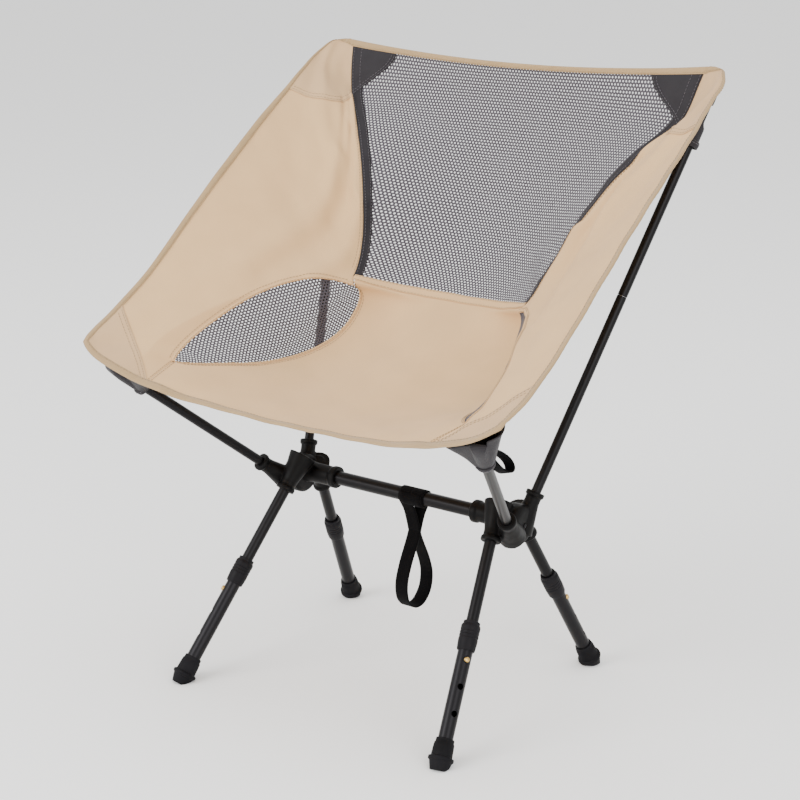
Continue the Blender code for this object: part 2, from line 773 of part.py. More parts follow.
def hanging_strap():
    """A webbing loop hitched round the crossbar, its origin on the bar's axis."""
    across = Matrix.Rotation(math.pi / 2, 4, "Y")
    place = Matrix.Translation((STRAP_X, 0.0, BAR_HEIGHT))
    inner = BAR_RADIUS + BORE_PLAY
    outer = inner + HITCH_THICKNESS
    half = HITCH_WIDTH / 2
    ring = [(inner, -half), (outer, -half), (outer, half), (inner, half)]
    hitch = turned_mesh("hanging_strap", ring)
    strap = add_object("hanging_strap", hitch, WEBBING, place @ across)

    low, high = LOOP_BOTTOM_Z - BAR_HEIGHT, LOOP_TOP_Z - BAR_HEIGHT
    path = []
    for step in range(28):
        angle = math.tau * (step + 0.5) / 28
        y = LOOP_SPREAD * math.sin(angle) * math.sin(angle / 2)
        y += math.copysign(STRAP_THICKNESS, math.sin(angle))
        path.append(Vector((0.0, y, (low + high) / 2 + (high - low) / 2 * math.cos(angle))))
    width = Vector((STRAP_WIDTH, 0.0, 0.0))
    loop = helper(ribbon("strap_loop", path, width, WEBBING, STRAP_THICKNESS, matrix=place))
    boolean(strap, loop, "UNION")

    neck_top, neck_bottom = -inner - 0.0004, high - 0.006
    path = [Vector((0.0, 0.0, z)) for z in steps(neck_top, neck_bottom, 3)]
    twice = 2.4 * STRAP_THICKNESS
    neck = ribbon("strap_neck", path, width, WEBBING, twice, closed=False, matrix=place)
    boolean(strap, helper(neck), "UNION")


def ground_cutter():
    mesh = bpy.data.meshes.new("below_ground")
    work = bmesh.new()
    bmesh.ops.create_cube(work, size=1.0)
    bmesh.ops.translate(work, verts=work.verts, vec=(0.0, 0.0, -0.5))
    work.to_mesh(mesh)
    work.free()
    return helper(add_object("below_ground", mesh, RUBBER))


ground = ground_cutter()
crossbar()
mirrored_copy("hub_right", hub("left", -1))
for side, sign in (("left", -1), ("right", 1)):
    hub_rivet(side, sign)
    seat_poles(side, sign)
    pull_tab(side, sign)
    for end in ("front", "rear"):
        leg(end, side, sign, ground)
        corner_pocket(end, side, sign)
sling()
edge_binding()
hanging_strap()
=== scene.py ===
# %% [markdown]
# # An ultralight camping chair
#
# The chair is a sling of cloth stretched over four slim poles. The frame was made
# first, as exact solids with working joints. This script loads that frame, then
# builds what the eye sees round it: tan cloth with folds and stitching, a black
# open net, webbing, drawn aluminium tubes and moulded plastic.

# %% Load the frame
import math

import bmesh
import bpy
import numpy as np
from mathutils import Matrix, Vector


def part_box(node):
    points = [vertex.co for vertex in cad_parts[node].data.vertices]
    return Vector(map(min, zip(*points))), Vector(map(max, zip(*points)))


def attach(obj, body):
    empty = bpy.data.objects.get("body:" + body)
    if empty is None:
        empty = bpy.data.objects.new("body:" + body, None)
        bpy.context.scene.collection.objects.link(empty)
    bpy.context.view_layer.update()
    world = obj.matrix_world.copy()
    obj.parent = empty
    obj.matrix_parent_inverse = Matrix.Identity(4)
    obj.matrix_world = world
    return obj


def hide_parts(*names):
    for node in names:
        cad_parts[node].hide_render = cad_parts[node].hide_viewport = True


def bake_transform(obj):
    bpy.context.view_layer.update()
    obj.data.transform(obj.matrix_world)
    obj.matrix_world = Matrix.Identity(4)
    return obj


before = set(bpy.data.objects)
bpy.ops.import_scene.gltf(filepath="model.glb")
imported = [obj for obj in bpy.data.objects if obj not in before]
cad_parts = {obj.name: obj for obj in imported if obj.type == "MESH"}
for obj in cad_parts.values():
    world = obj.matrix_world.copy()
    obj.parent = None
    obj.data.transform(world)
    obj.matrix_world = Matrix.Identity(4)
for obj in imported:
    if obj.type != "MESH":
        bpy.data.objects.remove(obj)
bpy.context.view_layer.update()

# %% [markdown]
# ## Camera, floor and light
#
# The camera has a long lens and stands a little above the seat, so that the chair's
# sides stay nearly parallel. Its turn is written as three angles and made into a
# matrix, because an exact roll is hard to give with a target object.
# The floor is plain and pale, and every light is a wide panel, so shadows are soft.

# %% Camera
CAMERA_PLACE = Vector((1.1313, -1.6101, 0.9009))
CAMERA_AZIMUTH = math.radians(35.25)
CAMERA_ELEVATION = math.radians(16.49)
CAMERA_ROLL = math.radians(0.38)
CAMERA_LENS_MM = 83.42


def camera_matrix():
    """The camera looks along its own -Z, so its Z column points back at the viewer."""
    flat = math.cos(CAMERA_ELEVATION)
    back = Vector((
        math.sin(CAMERA_AZIMUTH) * flat, -math.cos(CAMERA_AZIMUTH) * flat, math.sin(CAMERA_ELEVATION),
    ))
    level = Vector((0.0, 0.0, 1.0)).cross(back).normalized()
    upright = back.cross(level)
    right = level * math.cos(CAMERA_ROLL) + upright * math.sin(CAMERA_ROLL)
    up = upright * math.cos(CAMERA_ROLL) - level * math.sin(CAMERA_ROLL)
    matrix = Matrix((right, up, back)).transposed().to_4x4()
    matrix.translation = CAMERA_PLACE
    return matrix


lens = bpy.data.cameras.new("camera")
lens.lens = CAMERA_LENS_MM
lens.sensor_width = 36.0
lens.clip_end = 200.0
camera = bpy.data.objects.new("camera", lens)
camera.matrix_world = camera_matrix()
bpy.context.scene.collection.objects.link(camera)
bpy.context.scene.camera = camera
print("camera at", [round(x, 3) for x in camera.location])

# %% Soft panels of light
LIGHTS = {
    "key": {"place": (-1.5, -3.0, 1.9), "size": 2.2, "watts": 120.0},
    "fill": {"place": (3.0, -1.8, 1.5), "size": 2.4, "watts": 75.0},
    "top": {"place": (0.2, 0.6, 3.2), "size": 3.0, "watts": 40.0},
}
LIGHT_TARGET = Vector((0.0, 0.0, 0.35))


def light_panel(name, place, size, watts):
    """A square panel of light that faces the chair."""
    panel = bpy.data.lights.new(name, "AREA")
    panel.shape = "SQUARE"
    panel.size = size
    panel.energy = watts
    lamp = bpy.data.objects.new(name, panel)
    lamp.location = place
    lamp.rotation_euler = (Vector(place) - LIGHT_TARGET).to_track_quat("Z", "Y").to_euler()
    bpy.context.scene.collection.objects.link(lamp)


for name, facts in LIGHTS.items():
    light_panel(name + "_light", **facts)
world = bpy.data.worlds.new("studio")
bpy.context.scene.world = world
world.use_nodes = True
world.node_tree.nodes["Background"].inputs["Color"].default_value = (1.0, 1.0, 1.0, 1.0)
world.node_tree.nodes["Background"].inputs["Strength"].default_value = 1.35
print("lights:", ", ".join(LIGHTS))

# %% [markdown]
# ## Materials
#
# Each material is built from nodes. Colours are chosen as sRGB hex values, which is
# how a paint or cloth sample is usually given, and the shader wants linear numbers,
# so one function turns them. One more function adds a node with its settings and
# links, which keeps every material below to a short list.

# %% Two helpers for materials
MM = 0.001
WAVE_TURN = math.tau / 20.0  # Blender's wave repeats every 2 pi / (20 x scale)


def linear(hex_colour):
    """'#rrggbb' in sRGB to a linear colour with full alpha."""
    channels = [int(hex_colour[i:i + 2], 16) / 255 for i in (1, 3, 5)]
    spread = [c / 12.92 if c <= 0.04045 else ((c + 0.055) / 1.055) ** 2.4 for c in channels]
    return (*spread, 1.0)


def add(tree, kind, settings=(), links=()):
    """Adds a node. A setting is an input's name or number, or one of its properties."""
    node = tree.nodes.new("ShaderNode" + kind)
    settings = dict(settings)
    for key in [k for k in settings if isinstance(k, str) and k not in node.inputs]:
        setattr(node, key, settings.pop(key))
    for key, value in settings.items():
        node.inputs[key].default_value = value
    for key, output in dict(links).items():
        tree.links.new(output, node.inputs[key])
    return node


def new_material(name, roughness, metallic=0.0, **sockets):
    """A material with its shader's plain sockets set, and the tree and shader to go on."""
    made = bpy.data.materials.new(name)
    made.use_nodes = True
    tree = made.node_tree
    shader = tree.nodes["Principled BSDF"]
    sockets.update({"Roughness": roughness, "Metallic": metallic})
    for key, value in sockets.items():
        shader.inputs[key.replace("_", " ")].default_value = value
    return made, tree, shader


def connect(tree, shader, colour=None, roughness=None, height=None, bump_mm=0.1, strength=1.0):
    """Joins a colour, a roughness and a bump height to the shader."""
    if colour is not None:
        tree.links.new(colour, shader.inputs["Base Color"])
    if roughness is not None:
        tree.links.new(roughness, shader.inputs["Roughness"])
    if height is not None:
        bump = add(tree, "Bump", {"Strength": strength, "Distance": bump_mm * MM}, {"Height": height})
        tree.links.new(bump.outputs["Normal"], shader.inputs["Normal"])


# %% [markdown]
# ### Cloth and webbing
#
# The seat is a polyester Oxford cloth: plain weave in a thick yarn, with a faint
# fuzz that catches light at its edges. Every cloth piece below carries a map of its
# own flat cut in metres, so thread widths here are real widths. The yarn is about
# 0.5 mm; it is drawn at 1.1 mm, because finer threads would blur away.

# %% Woven cloth
CLOTH_MAP = "flat_cut"


def threads(tree, place, direction, pitch_mm, distortion=0.4):
    """Bands of yarn across the flat cut."""
    settings = {
        "bands_direction": direction, "Scale": WAVE_TURN / (pitch_mm * MM),
        "Distortion": distortion, "Detail": 1.0,
    }
    return add(tree, "TexWave", settings, {"Vector": place}).outputs["Fac"]


def cloth_place(tree):
    """Where a point lies on its piece's flat cut."""
    return add(tree, "UVMap", {"uv_map": CLOTH_MAP}).outputs["UV"]


def blotches(tree, place, size_mm, low, high, detail=3.0):
    """A soft value between low and high that wanders over this many millimetres."""
    noise = add(tree, "TexNoise", {"Scale": 1 / (size_mm * MM), "Detail": detail}, {"Vector": place})
    return add(
        tree, "MapRange", {"From Min": 0.3, "From Max": 0.7, "To Min": low, "To Max": high},
        {"Value": noise.outputs["Fac"]},
    ).outputs["Result"]


def woven(name, yarn, gap, pitch_mm=1.1, roughness=0.86, sheen=0.25, bump_mm=0.12, specular=0.25):
    """Plain weave: warp and weft yarns over and under each other."""
    made, tree, shader = new_material(
        name, roughness, Sheen_Weight=sheen, Sheen_Roughness=0.45,
        Specular_IOR_Level=specular,
    )
    place = cloth_place(tree)
    warp = threads(tree, place, "X", pitch_mm)
    weft = threads(tree, place, "Y", pitch_mm)
    weave = add(tree, "Math", {"operation": "MULTIPLY"}, {0: warp, 1: weft}).outputs["Value"]
    fade = blotches(tree, place, 55.0, 0.0, 1.0)
    pale = add(
        tree, "Mix", {"data_type": "RGBA", 6: linear(gap), 7: linear(yarn)}, {0: weave},
    ).outputs[2]
    hue = add(tree, "HueSaturation", {"Saturation": 1.0}, {
        "Color": pale,
        "Value": add(tree, "MapRange", {"To Min": 0.955, "To Max": 1.03}, {"Value": fade}).outputs[0],
    }).outputs["Color"]
    rough = blotches(tree, place, 20.0, roughness - 0.06, min(1.0, roughness + 0.06))
    connect(tree, shader, hue, rough, weave, bump_mm, 0.8)
    return made


# Tan Oxford cloth, piece-dyed: warm and matt, its threads a shade darker in the gaps.
OXFORD = woven("tan_oxford_cloth", "#e3be8d", "#c9a273", sheen=0.12)
# Doubled at the corners, the same cloth lets no light through and looks greyer.
PATCH_CLOTH = woven("tan_oxford_patch", "#d3b08c", "#b9986f", sheen=0.12)
# The folded tape round the edge is a closer weave in a deeper, more olive tan.
TAPE = woven("tan_edge_tape", "#bfa27a", "#957a55", pitch_mm=1.5, bump_mm=0.2)
# Black ballistic cloth on the top corners: smoother yarn with a dull grey shine.
BALLISTIC = woven("black_ballistic_cloth", "#2d282d", "#171518", pitch_mm=1.3, roughness=0.7, sheen=0.08)
# Polyester webbing: ribbed across its width, and darker than the cloth.
WEBBING = woven(
    "black_webbing", "#0b0a0b", "#050405", pitch_mm=1.9, roughness=0.85, sheen=0.02, bump_mm=0.3,
    specular=0.06,
)
print("cloths:", OXFORD.name, TAPE.name, BALLISTIC.name, WEBBING.name)


# %% Knitted net and sewing thread
def yarn(name, colour, dark, roughness=0.7, twist_mm=0.9):
    """A bare yarn: fine twist lines over a colour that wanders a little."""
    made, tree, shader = new_material(name, roughness, Sheen_Weight=0.2, Specular_IOR_Level=0.3)
    place = add(tree, "TexCoord").outputs["Object"]
    twist = threads(tree, place, "DIAGONAL", twist_mm, 1.0)
    tone = add(
        tree, "Mix", {"data_type": "RGBA", 6: linear(dark), 7: linear(colour)}, {0: twist},
    ).outputs[2]
    connect(tree, shader, tone, None, twist, 0.08, 0.6)
    return made


# Warp-knitted polyester net: soft black yarn, greyer where the light rakes over it.
NET_YARN = yarn("black_knitted_net", "#4d4850", "#302c32")
# Polyester thread, a shade darker than the tan cloth, so that a seam is a fine line.
TAN_THREAD = yarn("tan_sewing_thread", "#a78c66", "#866c4a")
# The thread on black pieces is grey, and just paler than the tape it is sewn through.
BLACK_THREAD = yarn("black_sewing_thread", "#5b565c", "#343136")
print("yarns:", NET_YARN.name, TAN_THREAD.name, BLACK_THREAD.name)


# %% [markdown]
# ### Tube, moulding, rubber and brass
#
# The poles are drawn aluminium tube, anodised black: the metal's drawing lines run
# along the tube and stretch every highlight. Hubs and collars are injection-moulded
# nylon with a spark-eroded grain, the feet are moulded rubber, and the snap buttons
# are turned brass.

# %% Hard materials
def along_axis(tree, across_mm, along_mm):
    """The piece's own place, measured in grains that are longer along its Z axis."""
    place = add(tree, "TexCoord").outputs["Object"]
    scale = (1 / (across_mm * MM), 1 / (across_mm * MM), 1 / (along_mm * MM))
    return add(tree, "Mapping", {"Scale": scale}, {"Vector": place}).outputs["Vector"]


def drawn_tube(name, dark, pale, roughness, metallic):
    """Metal with fine drawing lines that run along the piece."""
    made, tree, shader = new_material(name, roughness, metallic, Specular_IOR_Level=0.3)
    lines = add(tree, "TexNoise", {"Scale": 1.0, "Detail": 4.0}, {"Vector": along_axis(tree, 0.5, 60.0)})
    tone = add(
        tree, "Mix", {"data_type": "RGBA", 6: linear(dark), 7: linear(pale)},
        {0: lines.outputs["Fac"]},
    ).outputs[2]
    rough = add(
        tree, "MapRange", {"To Min": roughness - 0.08, "To Max": roughness + 0.1},
        {"Value": lines.outputs["Fac"]},
    ).outputs[0]
    connect(tree, shader, tone, rough, lines.outputs["Fac"], 0.02, 0.5)
    return made


def grained(name, dark, pale, roughness, grain_mm, bump_mm, scuff_mm=9.0):
    """Moulded plastic or rubber: an even fine grain, rubbed smoother in patches."""
    made, tree, shader = new_material(name, roughness, Specular_IOR_Level=0.10)
    place = add(tree, "TexCoord").outputs["Object"]
    grain = add(tree, "TexNoise", {"Scale": 1 / (grain_mm * MM), "Detail": 2.0}, {"Vector": place})
    rub = blotches(tree, place, scuff_mm, roughness - 0.1, roughness + 0.08)
    tone = add(
        tree, "Mix", {"data_type": "RGBA", 6: linear(dark), 7: linear(pale)},
        {0: blotches(tree, place, scuff_mm * 2, 0.0, 1.0)},
    ).outputs[2]
    connect(tree, shader, tone, rub, grain.outputs["Fac"], bump_mm, 0.7)
    return made


# Black anodised aluminium: dark, with one long highlight along each tube.
ANODISED = drawn_tube("black_anodised_aluminium", "#0b0a0b", "#141214", 0.36, 0.6)
# The lower legs are a touch greyer than the rest of the tubes.
LOWER_TUBE = drawn_tube("lower_leg_anodised_aluminium", "#0f0e10", "#1c1a1d", 0.36, 0.6)
# The hubs' nylon is the blackest of all, matt and rubbed smoother in patches.
NYLON = grained("moulded_black_nylon", "#060505", "#0b0a0a", 0.5, 0.7, 0.05)
# The collars are a shade paler than the hubs.
COLLAR_NYLON = grained("moulded_collar_nylon", "#0e0d0f", "#171518", 0.52, 0.7, 0.05)
# Rubber has the coarsest grain and the dullest shine.
RUBBER = grained("moulded_black_rubber", "#0b0a0c", "#151417", 0.68, 0.9, 0.1)
# Turned brass: a small warm glint on each leg.
BRASS = drawn_tube("turned_brass", "#b08d4c", "#d8b873", 0.3, 1.0)
# Bare steel: pale and cool, for the springs and the pole joints.
STEEL = drawn_tube("spring_steel", "#8b8b8e", "#b4b4b6", 0.32, 1.0)
# Braided cord: dark and dull, seen where a leg is pulled out.
CORD = yarn("braided_shock_cord", "#3a383c", "#1b1a1c")
print("hard materials:", ANODISED.name, NYLON.name, RUBBER.name, BRASS.name)

# %% Floor
FLOOR_SIZE = 60.0
FLOOR_DROP = 0.0004


def floor():
    """A plain pale floor, a hair below the feet so that no two faces lie together."""
    made, tree, shader = new_material("pale_floor", 0.9)
    shader.inputs["Base Color"].default_value = linear("#fcfcfb")
    mesh = bpy.data.meshes.new("floor")
    half = FLOOR_SIZE / 2
    corners = [(-half, -half, 0.0), (half, -half, 0.0), (half, half, 0.0), (-half, half, 0.0)]
    mesh.from_pydata(corners, [], [(0, 1, 2, 3)])
    mesh.materials.append(made)
    plane = bpy.data.objects.new("floor", mesh)
    plane.location.z = -FLOOR_DROP
    bpy.context.scene.collection.objects.link(plane)


floor()
print("floor", FLOOR_SIZE, "m wide")

# %% [markdown]
# ## The sling as one surface
#
# All the cloth on the chair lies on one curved surface, so it is written once, as a
# function of two numbers: how far across (-1 left edge, 0 middle, 1 right edge) and
# how far along (0 front edge, 1 top edge). Three rails give its shape, and every
# panel, tape, patch and stitch takes its points from it. NumPy works on whole arrays
# of points at once, which keeps nets with thousands of holes quick.

# %% Rails of the sling
BAR = (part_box("crossbar")[0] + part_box("crossbar")[1]) / 2
MIDDLE_RAIL = np.array([
    (0, -0.205, 0.338), (0, -0.140, 0.334), (0, -0.080, 0.337), (0, -0.020, 0.350),
    (0, 0.040, 0.372), (0, 0.112, 0.412), (0, 0.158, 0.455), (0, 0.190, 0.510),
    (0, 0.210, 0.568), (0, 0.222, 0.622), (0, 0.225, 0.668),
])
SEAM_RAIL = np.array([
    (0.130, -0.214, 0.345), (0.126, -0.152, 0.357), (0.123, -0.095, 0.371),
    (0.120, -0.038, 0.389), (0.117, 0.014, 0.410), (0.116, 0.060, 0.431),
    (0.128, 0.094, 0.470), (0.152, 0.126, 0.529), (0.184, 0.160, 0.582),
    (0.222, 0.198, 0.622), (0.237, 0.223, 0.681),
])
EDGE_RAIL = np.array([
    (0.271, -0.238, 0.387), (0.272, -0.182, 0.412), (0.271, -0.120, 0.449),
    (0.272, -0.062, 0.493), (0.273, -0.005, 0.536), (0.274, 0.045, 0.571),
    (0.275, 0.090, 0.601), (0.274, 0.130, 0.626), (0.272, 0.165, 0.650),
    (0.270, 0.195, 0.669), (0.264, 0.224, 0.684),
])
SEAM = 0.5
CORNER_PULL = 0.010
CORNER_LIFT = 0.018
CORNER_POWER = 14
# The very tips are rounded off by a second, sharper pull.
TIP_PULL = 0.0060
TIP_LIFT = 0.020
TIP_POWER = 40
FRONT_TIP_SHARE = 0.6
# The front edge hangs forwards and down a little between its seam and its tip.
FRONT_EDGE_SAG = np.array([0.0, -0.003, -0.005])
FRONT_SAG_END = 0.15


def rail_points(rail, along):
    """Points on a smooth curve through a rail (a Catmull-Rom spline)."""
    spans = len(rail) - 1
    place = np.clip(along, 0.0, 1.0) * spans
    index = np.minimum(place.astype(int), spans - 1)
    part = (place - index)[:, None]
    longer = np.vstack([2 * rail[0] - rail[1], rail, 2 * rail[-1] - rail[-2]])
    before, first, second, after = (longer[index + step] for step in range(4))
    square = (2 * before - 5 * first + 4 * second - after) * part**2
    cube = (3 * first - before - 3 * second + after) * part**3
    return (2 * first + (second - before) * part + square + cube) / 2


def rails_at(along):
    """Middle, seam and edge of each row, the edge drawn in at the corners."""
    middle, seam, edge = (rail_points(r, along) for r in (MIDDLE_RAIL, SEAM_RAIL, EDGE_RAIL))
    inwards = (seam - edge) / np.linalg.norm(seam - edge, axis=1, keepdims=True)
    from_middle = np.abs(2 * along - 1)
    pull = CORNER_PULL * from_middle**CORNER_POWER + TIP_PULL * from_middle**TIP_POWER
    pull *= np.where(along < 0.5, FRONT_TIP_SHARE, 1.0)
    return middle, seam, edge + inwards * pull[:, None]


# %% Where the leaf window runs
WINDOW_FRONT = (0.690, 0.074)
WINDOW_REAR = (0.490, 0.482)
WINDOW_RISE = 0.095
WINDOW_DROP = 0.200
WINDOW_FULLNESS = 0.7
WELL_SHIFT = np.array([0.0330, 0.0416, -0.0143])
WELL_FLARE = 0.12
WELL_FLARE_END = 0.30
print("window from row", WINDOW_FRONT[1], "to row", WINDOW_REAR[1])


def eased(part):
    """An S-curve from 0 to 1."""
    return part * part * (3 - 2 * part)


def window_edges(along):
    """How far across the leaf's lower and upper edges lie, at each row."""
    part = np.clip((along - WINDOW_FRONT[1]) / (WINDOW_REAR[1] - WINDOW_FRONT[1]), 0, 1)
    chord = WINDOW_FRONT[0] + (WINDOW_REAR[0] - WINDOW_FRONT[0]) * part
    bulge = (4 * part * (1 - part)) ** WINDOW_FULLNESS
    return chord - WINDOW_DROP * bulge, chord + WINDOW_RISE * bulge


def seat_well(share, along):
    """How far the seat sinks and widens beside the hips, from 0 to 1. It falls off
    across the window, which so stands up steeply between seat and wing."""
    low, high = window_edges(along)
    high = high + WELL_FLARE * np.maximum(0.0, 1 - along / WELL_FLARE_END)
    rise = np.clip(share / low, 0, 1)
    fall = np.clip((high - share) / np.maximum(high - low, 0.0003), 0, 1)
    part = np.where(share < low, eased(rise), fall)
    wave = np.sin(math.pi * np.clip(along / WINDOW_REAR[1], 0, 1))
    return part * wave ** np.where(along < WINDOW_REAR[1] / 2, 1.6, 0.6)


# %% The stretched surface
def taut_surface(across, along):
    """The stretched sling without its folds, in the frame's own place."""
    share = np.abs(across)
    reach = np.minimum(share, 1.0)
    row = 0.5 + (along - 0.5) * (1 - CORNER_LIFT * reach**CORNER_POWER - TIP_LIFT * reach**TIP_POWER)
    middle, seam, edge = rails_at(row)
    part = (share / SEAM)[:, None]
    inner = middle + (seam - middle) * part**2
    inner[:, 0] = seam[:, 0] * part[:, 0]
    part = ((share - SEAM) / (1 - SEAM))[:, None]
    sag = 4 * part * (1 - part) * np.maximum(0.0, 1 - row / FRONT_SAG_END)[:, None] ** 2
    outer = seam + (edge - seam) * part + FRONT_EDGE_SAG * sag
    points = np.where(share[:, None] <= SEAM, inner, outer)
    points += WELL_SHIFT * seat_well(share, along)[:, None]
    points[:, 0] *= np.where(across < 0, -1.0, 1.0)
    return points + np.array([0.0, BAR.y, 0.0])


print("front corner at", taut_surface(np.array([1.0]), np.array([0.0])).round(3))

# %% [markdown]
# ### Folds
#
# Stretched cloth isn't smooth: it folds softly from each corner where a pole pulls
# it, and puckers beside every seam. Each fold is a line with a height and a width,
# and the surface rises or dips by a bell curve beside it. A slow ripple everywhere
# keeps the light from lying too evenly.

# %% Folds and ripples
FLAT_WIDTH = 0.30
FLAT_LENGTH = 0.75
FOLD_TAPER = 0.55
RIPPLE_HEIGHT = 0.0006
# Each fold: from and to (across, along), height and half-width in metres.
FOLDS = [
    ((0.545, 0.790), (0.700, 0.340), -0.0060, 0.012),
    ((0.520, 0.660), (0.590, 0.410), 0.0056, 0.009),
    ((0.640, 0.700), (0.760, 0.300), 0.0040, 0.013),
    ((0.525, 0.880), (0.570, 0.560), 0.0036, 0.006),
    ((0.620, 0.840), (0.640, 0.560), -0.0030, 0.008),
    ((0.980, 0.975), (0.640, 0.620), 0.0030, 0.016),
    ((0.960, 0.930), (0.800, 0.520), -0.0024, 0.016),
    ((0.985, 0.020), (0.780, 0.330), 0.0026, 0.013),
    ((0.960, 0.030), (0.700, 0.120), -0.0018, 0.010),
    ((0.640, 0.020), (0.330, 0.200), 0.0016, 0.016),
    ((0.480, 0.480), (0.220, 0.330), 0.0018, 0.012),
    ((0.300, 0.490), (0.120, 0.300), -0.0014, 0.014),
    ((0.450, 0.960), (0.250, 0.700), 0.0018, 0.018),
    ((0.440, 0.560), (0.280, 0.700), 0.0014, 0.016),
]


def folds(across, along):
    """How far the cloth stands off the taut surface."""
    here = np.column_stack([np.abs(across) * FLAT_WIDTH, along * FLAT_LENGTH])
    height = np.zeros(len(here))
    for start, end, rise, width in FOLDS:
        a = np.array(start) * (FLAT_WIDTH, FLAT_LENGTH)
        b = np.array(end) * (FLAT_WIDTH, FLAT_LENGTH)
        share = (here - a) @ (b - a) / ((b - a) @ (b - a))
        near = a + np.clip(share, 0, 1)[:, None] * (b - a)
        away = np.linalg.norm(here - near, axis=1)
        taper = 1.0 - FOLD_TAPER * np.clip(share, 0, 1)
        height += rise * taper * np.exp(-(away / width) ** 2)
    x, y = across * FLAT_WIDTH, along * FLAT_LENGTH
    ripple = np.sin(math.tau * (x / 0.085 + y / 0.16) + 1.0) * np.sin(math.tau * (y / 0.12 - x / 0.21))
    return height + RIPPLE_HEIGHT * ripple


def surface_normals(across, along):
    """Unit directions square to the taut surface, on the sitter's side."""
    small = 0.003
    low, high = np.maximum(along - small, 0.0), np.minimum(along + small, 1.0)
    sideways = taut_surface(across + small, along) - taut_surface(across - small, along)
    forwards = taut_surface(across, high) - taut_surface(across, low)
    square = np.cross(sideways, forwards)
    return square / np.linalg.norm(square, axis=1, keepdims=True)


def cloth_surface(across, along, lift=0.0):
    """Points of the folded cloth, lifted this far towards the sitter."""
    across, along = np.asarray(across, float), np.asarray(along, float)
    flat_across, flat_along = across.ravel(), along.ravel()
    height = folds(flat_across, flat_along) + np.broadcast_to(lift, across.shape).ravel()
    points = taut_surface(flat_across, flat_along)
    points += surface_normals(flat_across, flat_along) * height[:, None]
    return points.reshape(*across.shape, 3)


print("folds:", len(FOLDS))

# %% [markdown]
# ### From rows of points to cloth
#
# A sheet of cloth is a grid of points with a face in each square. Each sheet also
# gets its flat cut as a UV map in metres, measured along its own rows and columns,
# so that the weave lies straight on the cloth however the cloth bends.

# %% Mesh helpers
def link_piece(name, mesh, finish, body="chair_frame", smooth=True):
    """Makes a mesh an object of the scene that rides on one of the frame's bodies, or on none yet."""
    made = bpy.data.objects.new(name, mesh)
    bpy.context.scene.collection.objects.link(made)
    mesh.materials.append(finish)
    if smooth:
        mesh.shade_smooth()
    if body:
        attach(made, body)
    return made


def grid_mesh(name, points, closed_rows=False, closed_columns=False):
    """A mesh from points[row, column], with its flat cut in metres as its UV map."""
    rows, columns = points.shape[:2]
    row_ids = np.arange(rows if closed_rows else rows - 1)
    column_ids = np.arange(columns if closed_columns else columns - 1)
    a, b = np.meshgrid(row_ids, column_ids, indexing="ij")
    a, b = a.ravel(), b.ravel()
    a2, b2 = (a + 1) % rows, (b + 1) % columns
    faces = np.column_stack([a * columns + b, a * columns + b2, a2 * columns + b2, a2 * columns + b])
    mesh = bpy.data.meshes.new(name)
    mesh.from_pydata(points.reshape(-1, 3).tolist(), [], faces.tolist())
    sideways = np.linalg.norm(np.diff(points, axis=1, append=points[:, :1]), axis=2)
    lengthways = np.linalg.norm(np.diff(points, axis=0, append=points[:1]), axis=2).mean(axis=1)
    u = np.cumsum(np.hstack([np.zeros((rows, 1)), sideways]), axis=1)
    u -= u[:, [columns // 2]]
    v = np.concatenate([[0.0], np.cumsum(lengthways)])
    layer = mesh.uv_layers.new(name=CLOTH_MAP)
    next_a, next_b = a + 1, b + 1
    corner_u = np.column_stack([u[a, b], u[a, next_b], u[a2, next_b], u[a2, b]])
    corner_v = np.column_stack([v[a], v[a], v[next_a], v[next_a]])
    layer.data.foreach_set("uv", np.stack([corner_u, corner_v], axis=2).ravel().astype(np.float32))
    mesh.update()
    return mesh


def thickened(piece, thickness_mm, offset=0.0):
    """Gives a sheet its real thickness."""
    modifier = piece.modifiers.new("thickness", "SOLIDIFY")
    modifier.thickness = thickness_mm * MM
    modifier.offset = offset
    modifier.use_even_offset = False
    return piece


def placed(points, matrix):
    """Points taken through a matrix."""
    matrix = np.array(matrix)
    return points @ matrix[:3, :3].T + matrix[:3, 3]


def run_lengths(points):
    """How far along its line each point is."""
    steps = np.linalg.norm(np.diff(points, axis=0), axis=1)
    return np.concatenate([[0.0], np.cumsum(steps)])


def between(start, end, count):
    """Rows of values that run from one edge to the other."""
    start, end = np.asarray(start, float), np.asarray(end, float)
    return start[..., None] + (end - start)[..., None] * np.linspace(0, 1, count)


def spread(values, columns):
    """Each row's value, the same all the way across the row."""
    return np.repeat(np.asarray(values, float)[:, None], columns, axis=1)


def laid_cloth(name, across, along, finish, lift_mm=0.0, thickness_mm=0.5):
    """A piece of cloth that lies on the sling's surface."""
    mesh = grid_mesh(name, cloth_surface(across, along, lift_mm * MM))
    piece = link_piece(name, mesh, finish)
    return thickened(piece, thickness_mm)


def flat_area(points):
    """The area in square metres of a grid of points."""
    p, q, r, s = points[:-1, :-1], points[:-1, 1:], points[1:, 1:], points[1:, :-1]
    return float(np.linalg.norm(np.cross(r - p, s - q), axis=2).sum() / 2)


# %% [markdown]
# ## Seat and wings
#
# The seat is one tan panel from the front edge to the foot of the back. A wing runs
# up each side. Between them the leaf-shaped window is let in, so both panels are cut
# to the leaf's curve.

# %% Seat panel and wings
SIDES = {"left": -1, "right": 1}
END_INSET = 0.004
WING_EDGE = 0.985
SEAT_ROWS, SEAT_COLUMNS = 96, 120
WING_ROWS, WING_COLUMNS = 190, 64
along = np.linspace(END_INSET, SEAM, SEAT_ROWS)
low, _ = window_edges(along)
seat_across = between(-low, low, SEAT_COLUMNS)
seat_rows = spread(along, SEAT_COLUMNS)
seat_points = cloth_surface(seat_across, seat_rows)
seat = laid_cloth("seat_cloth", seat_across, seat_rows, OXFORD)
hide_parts("seat_panel")

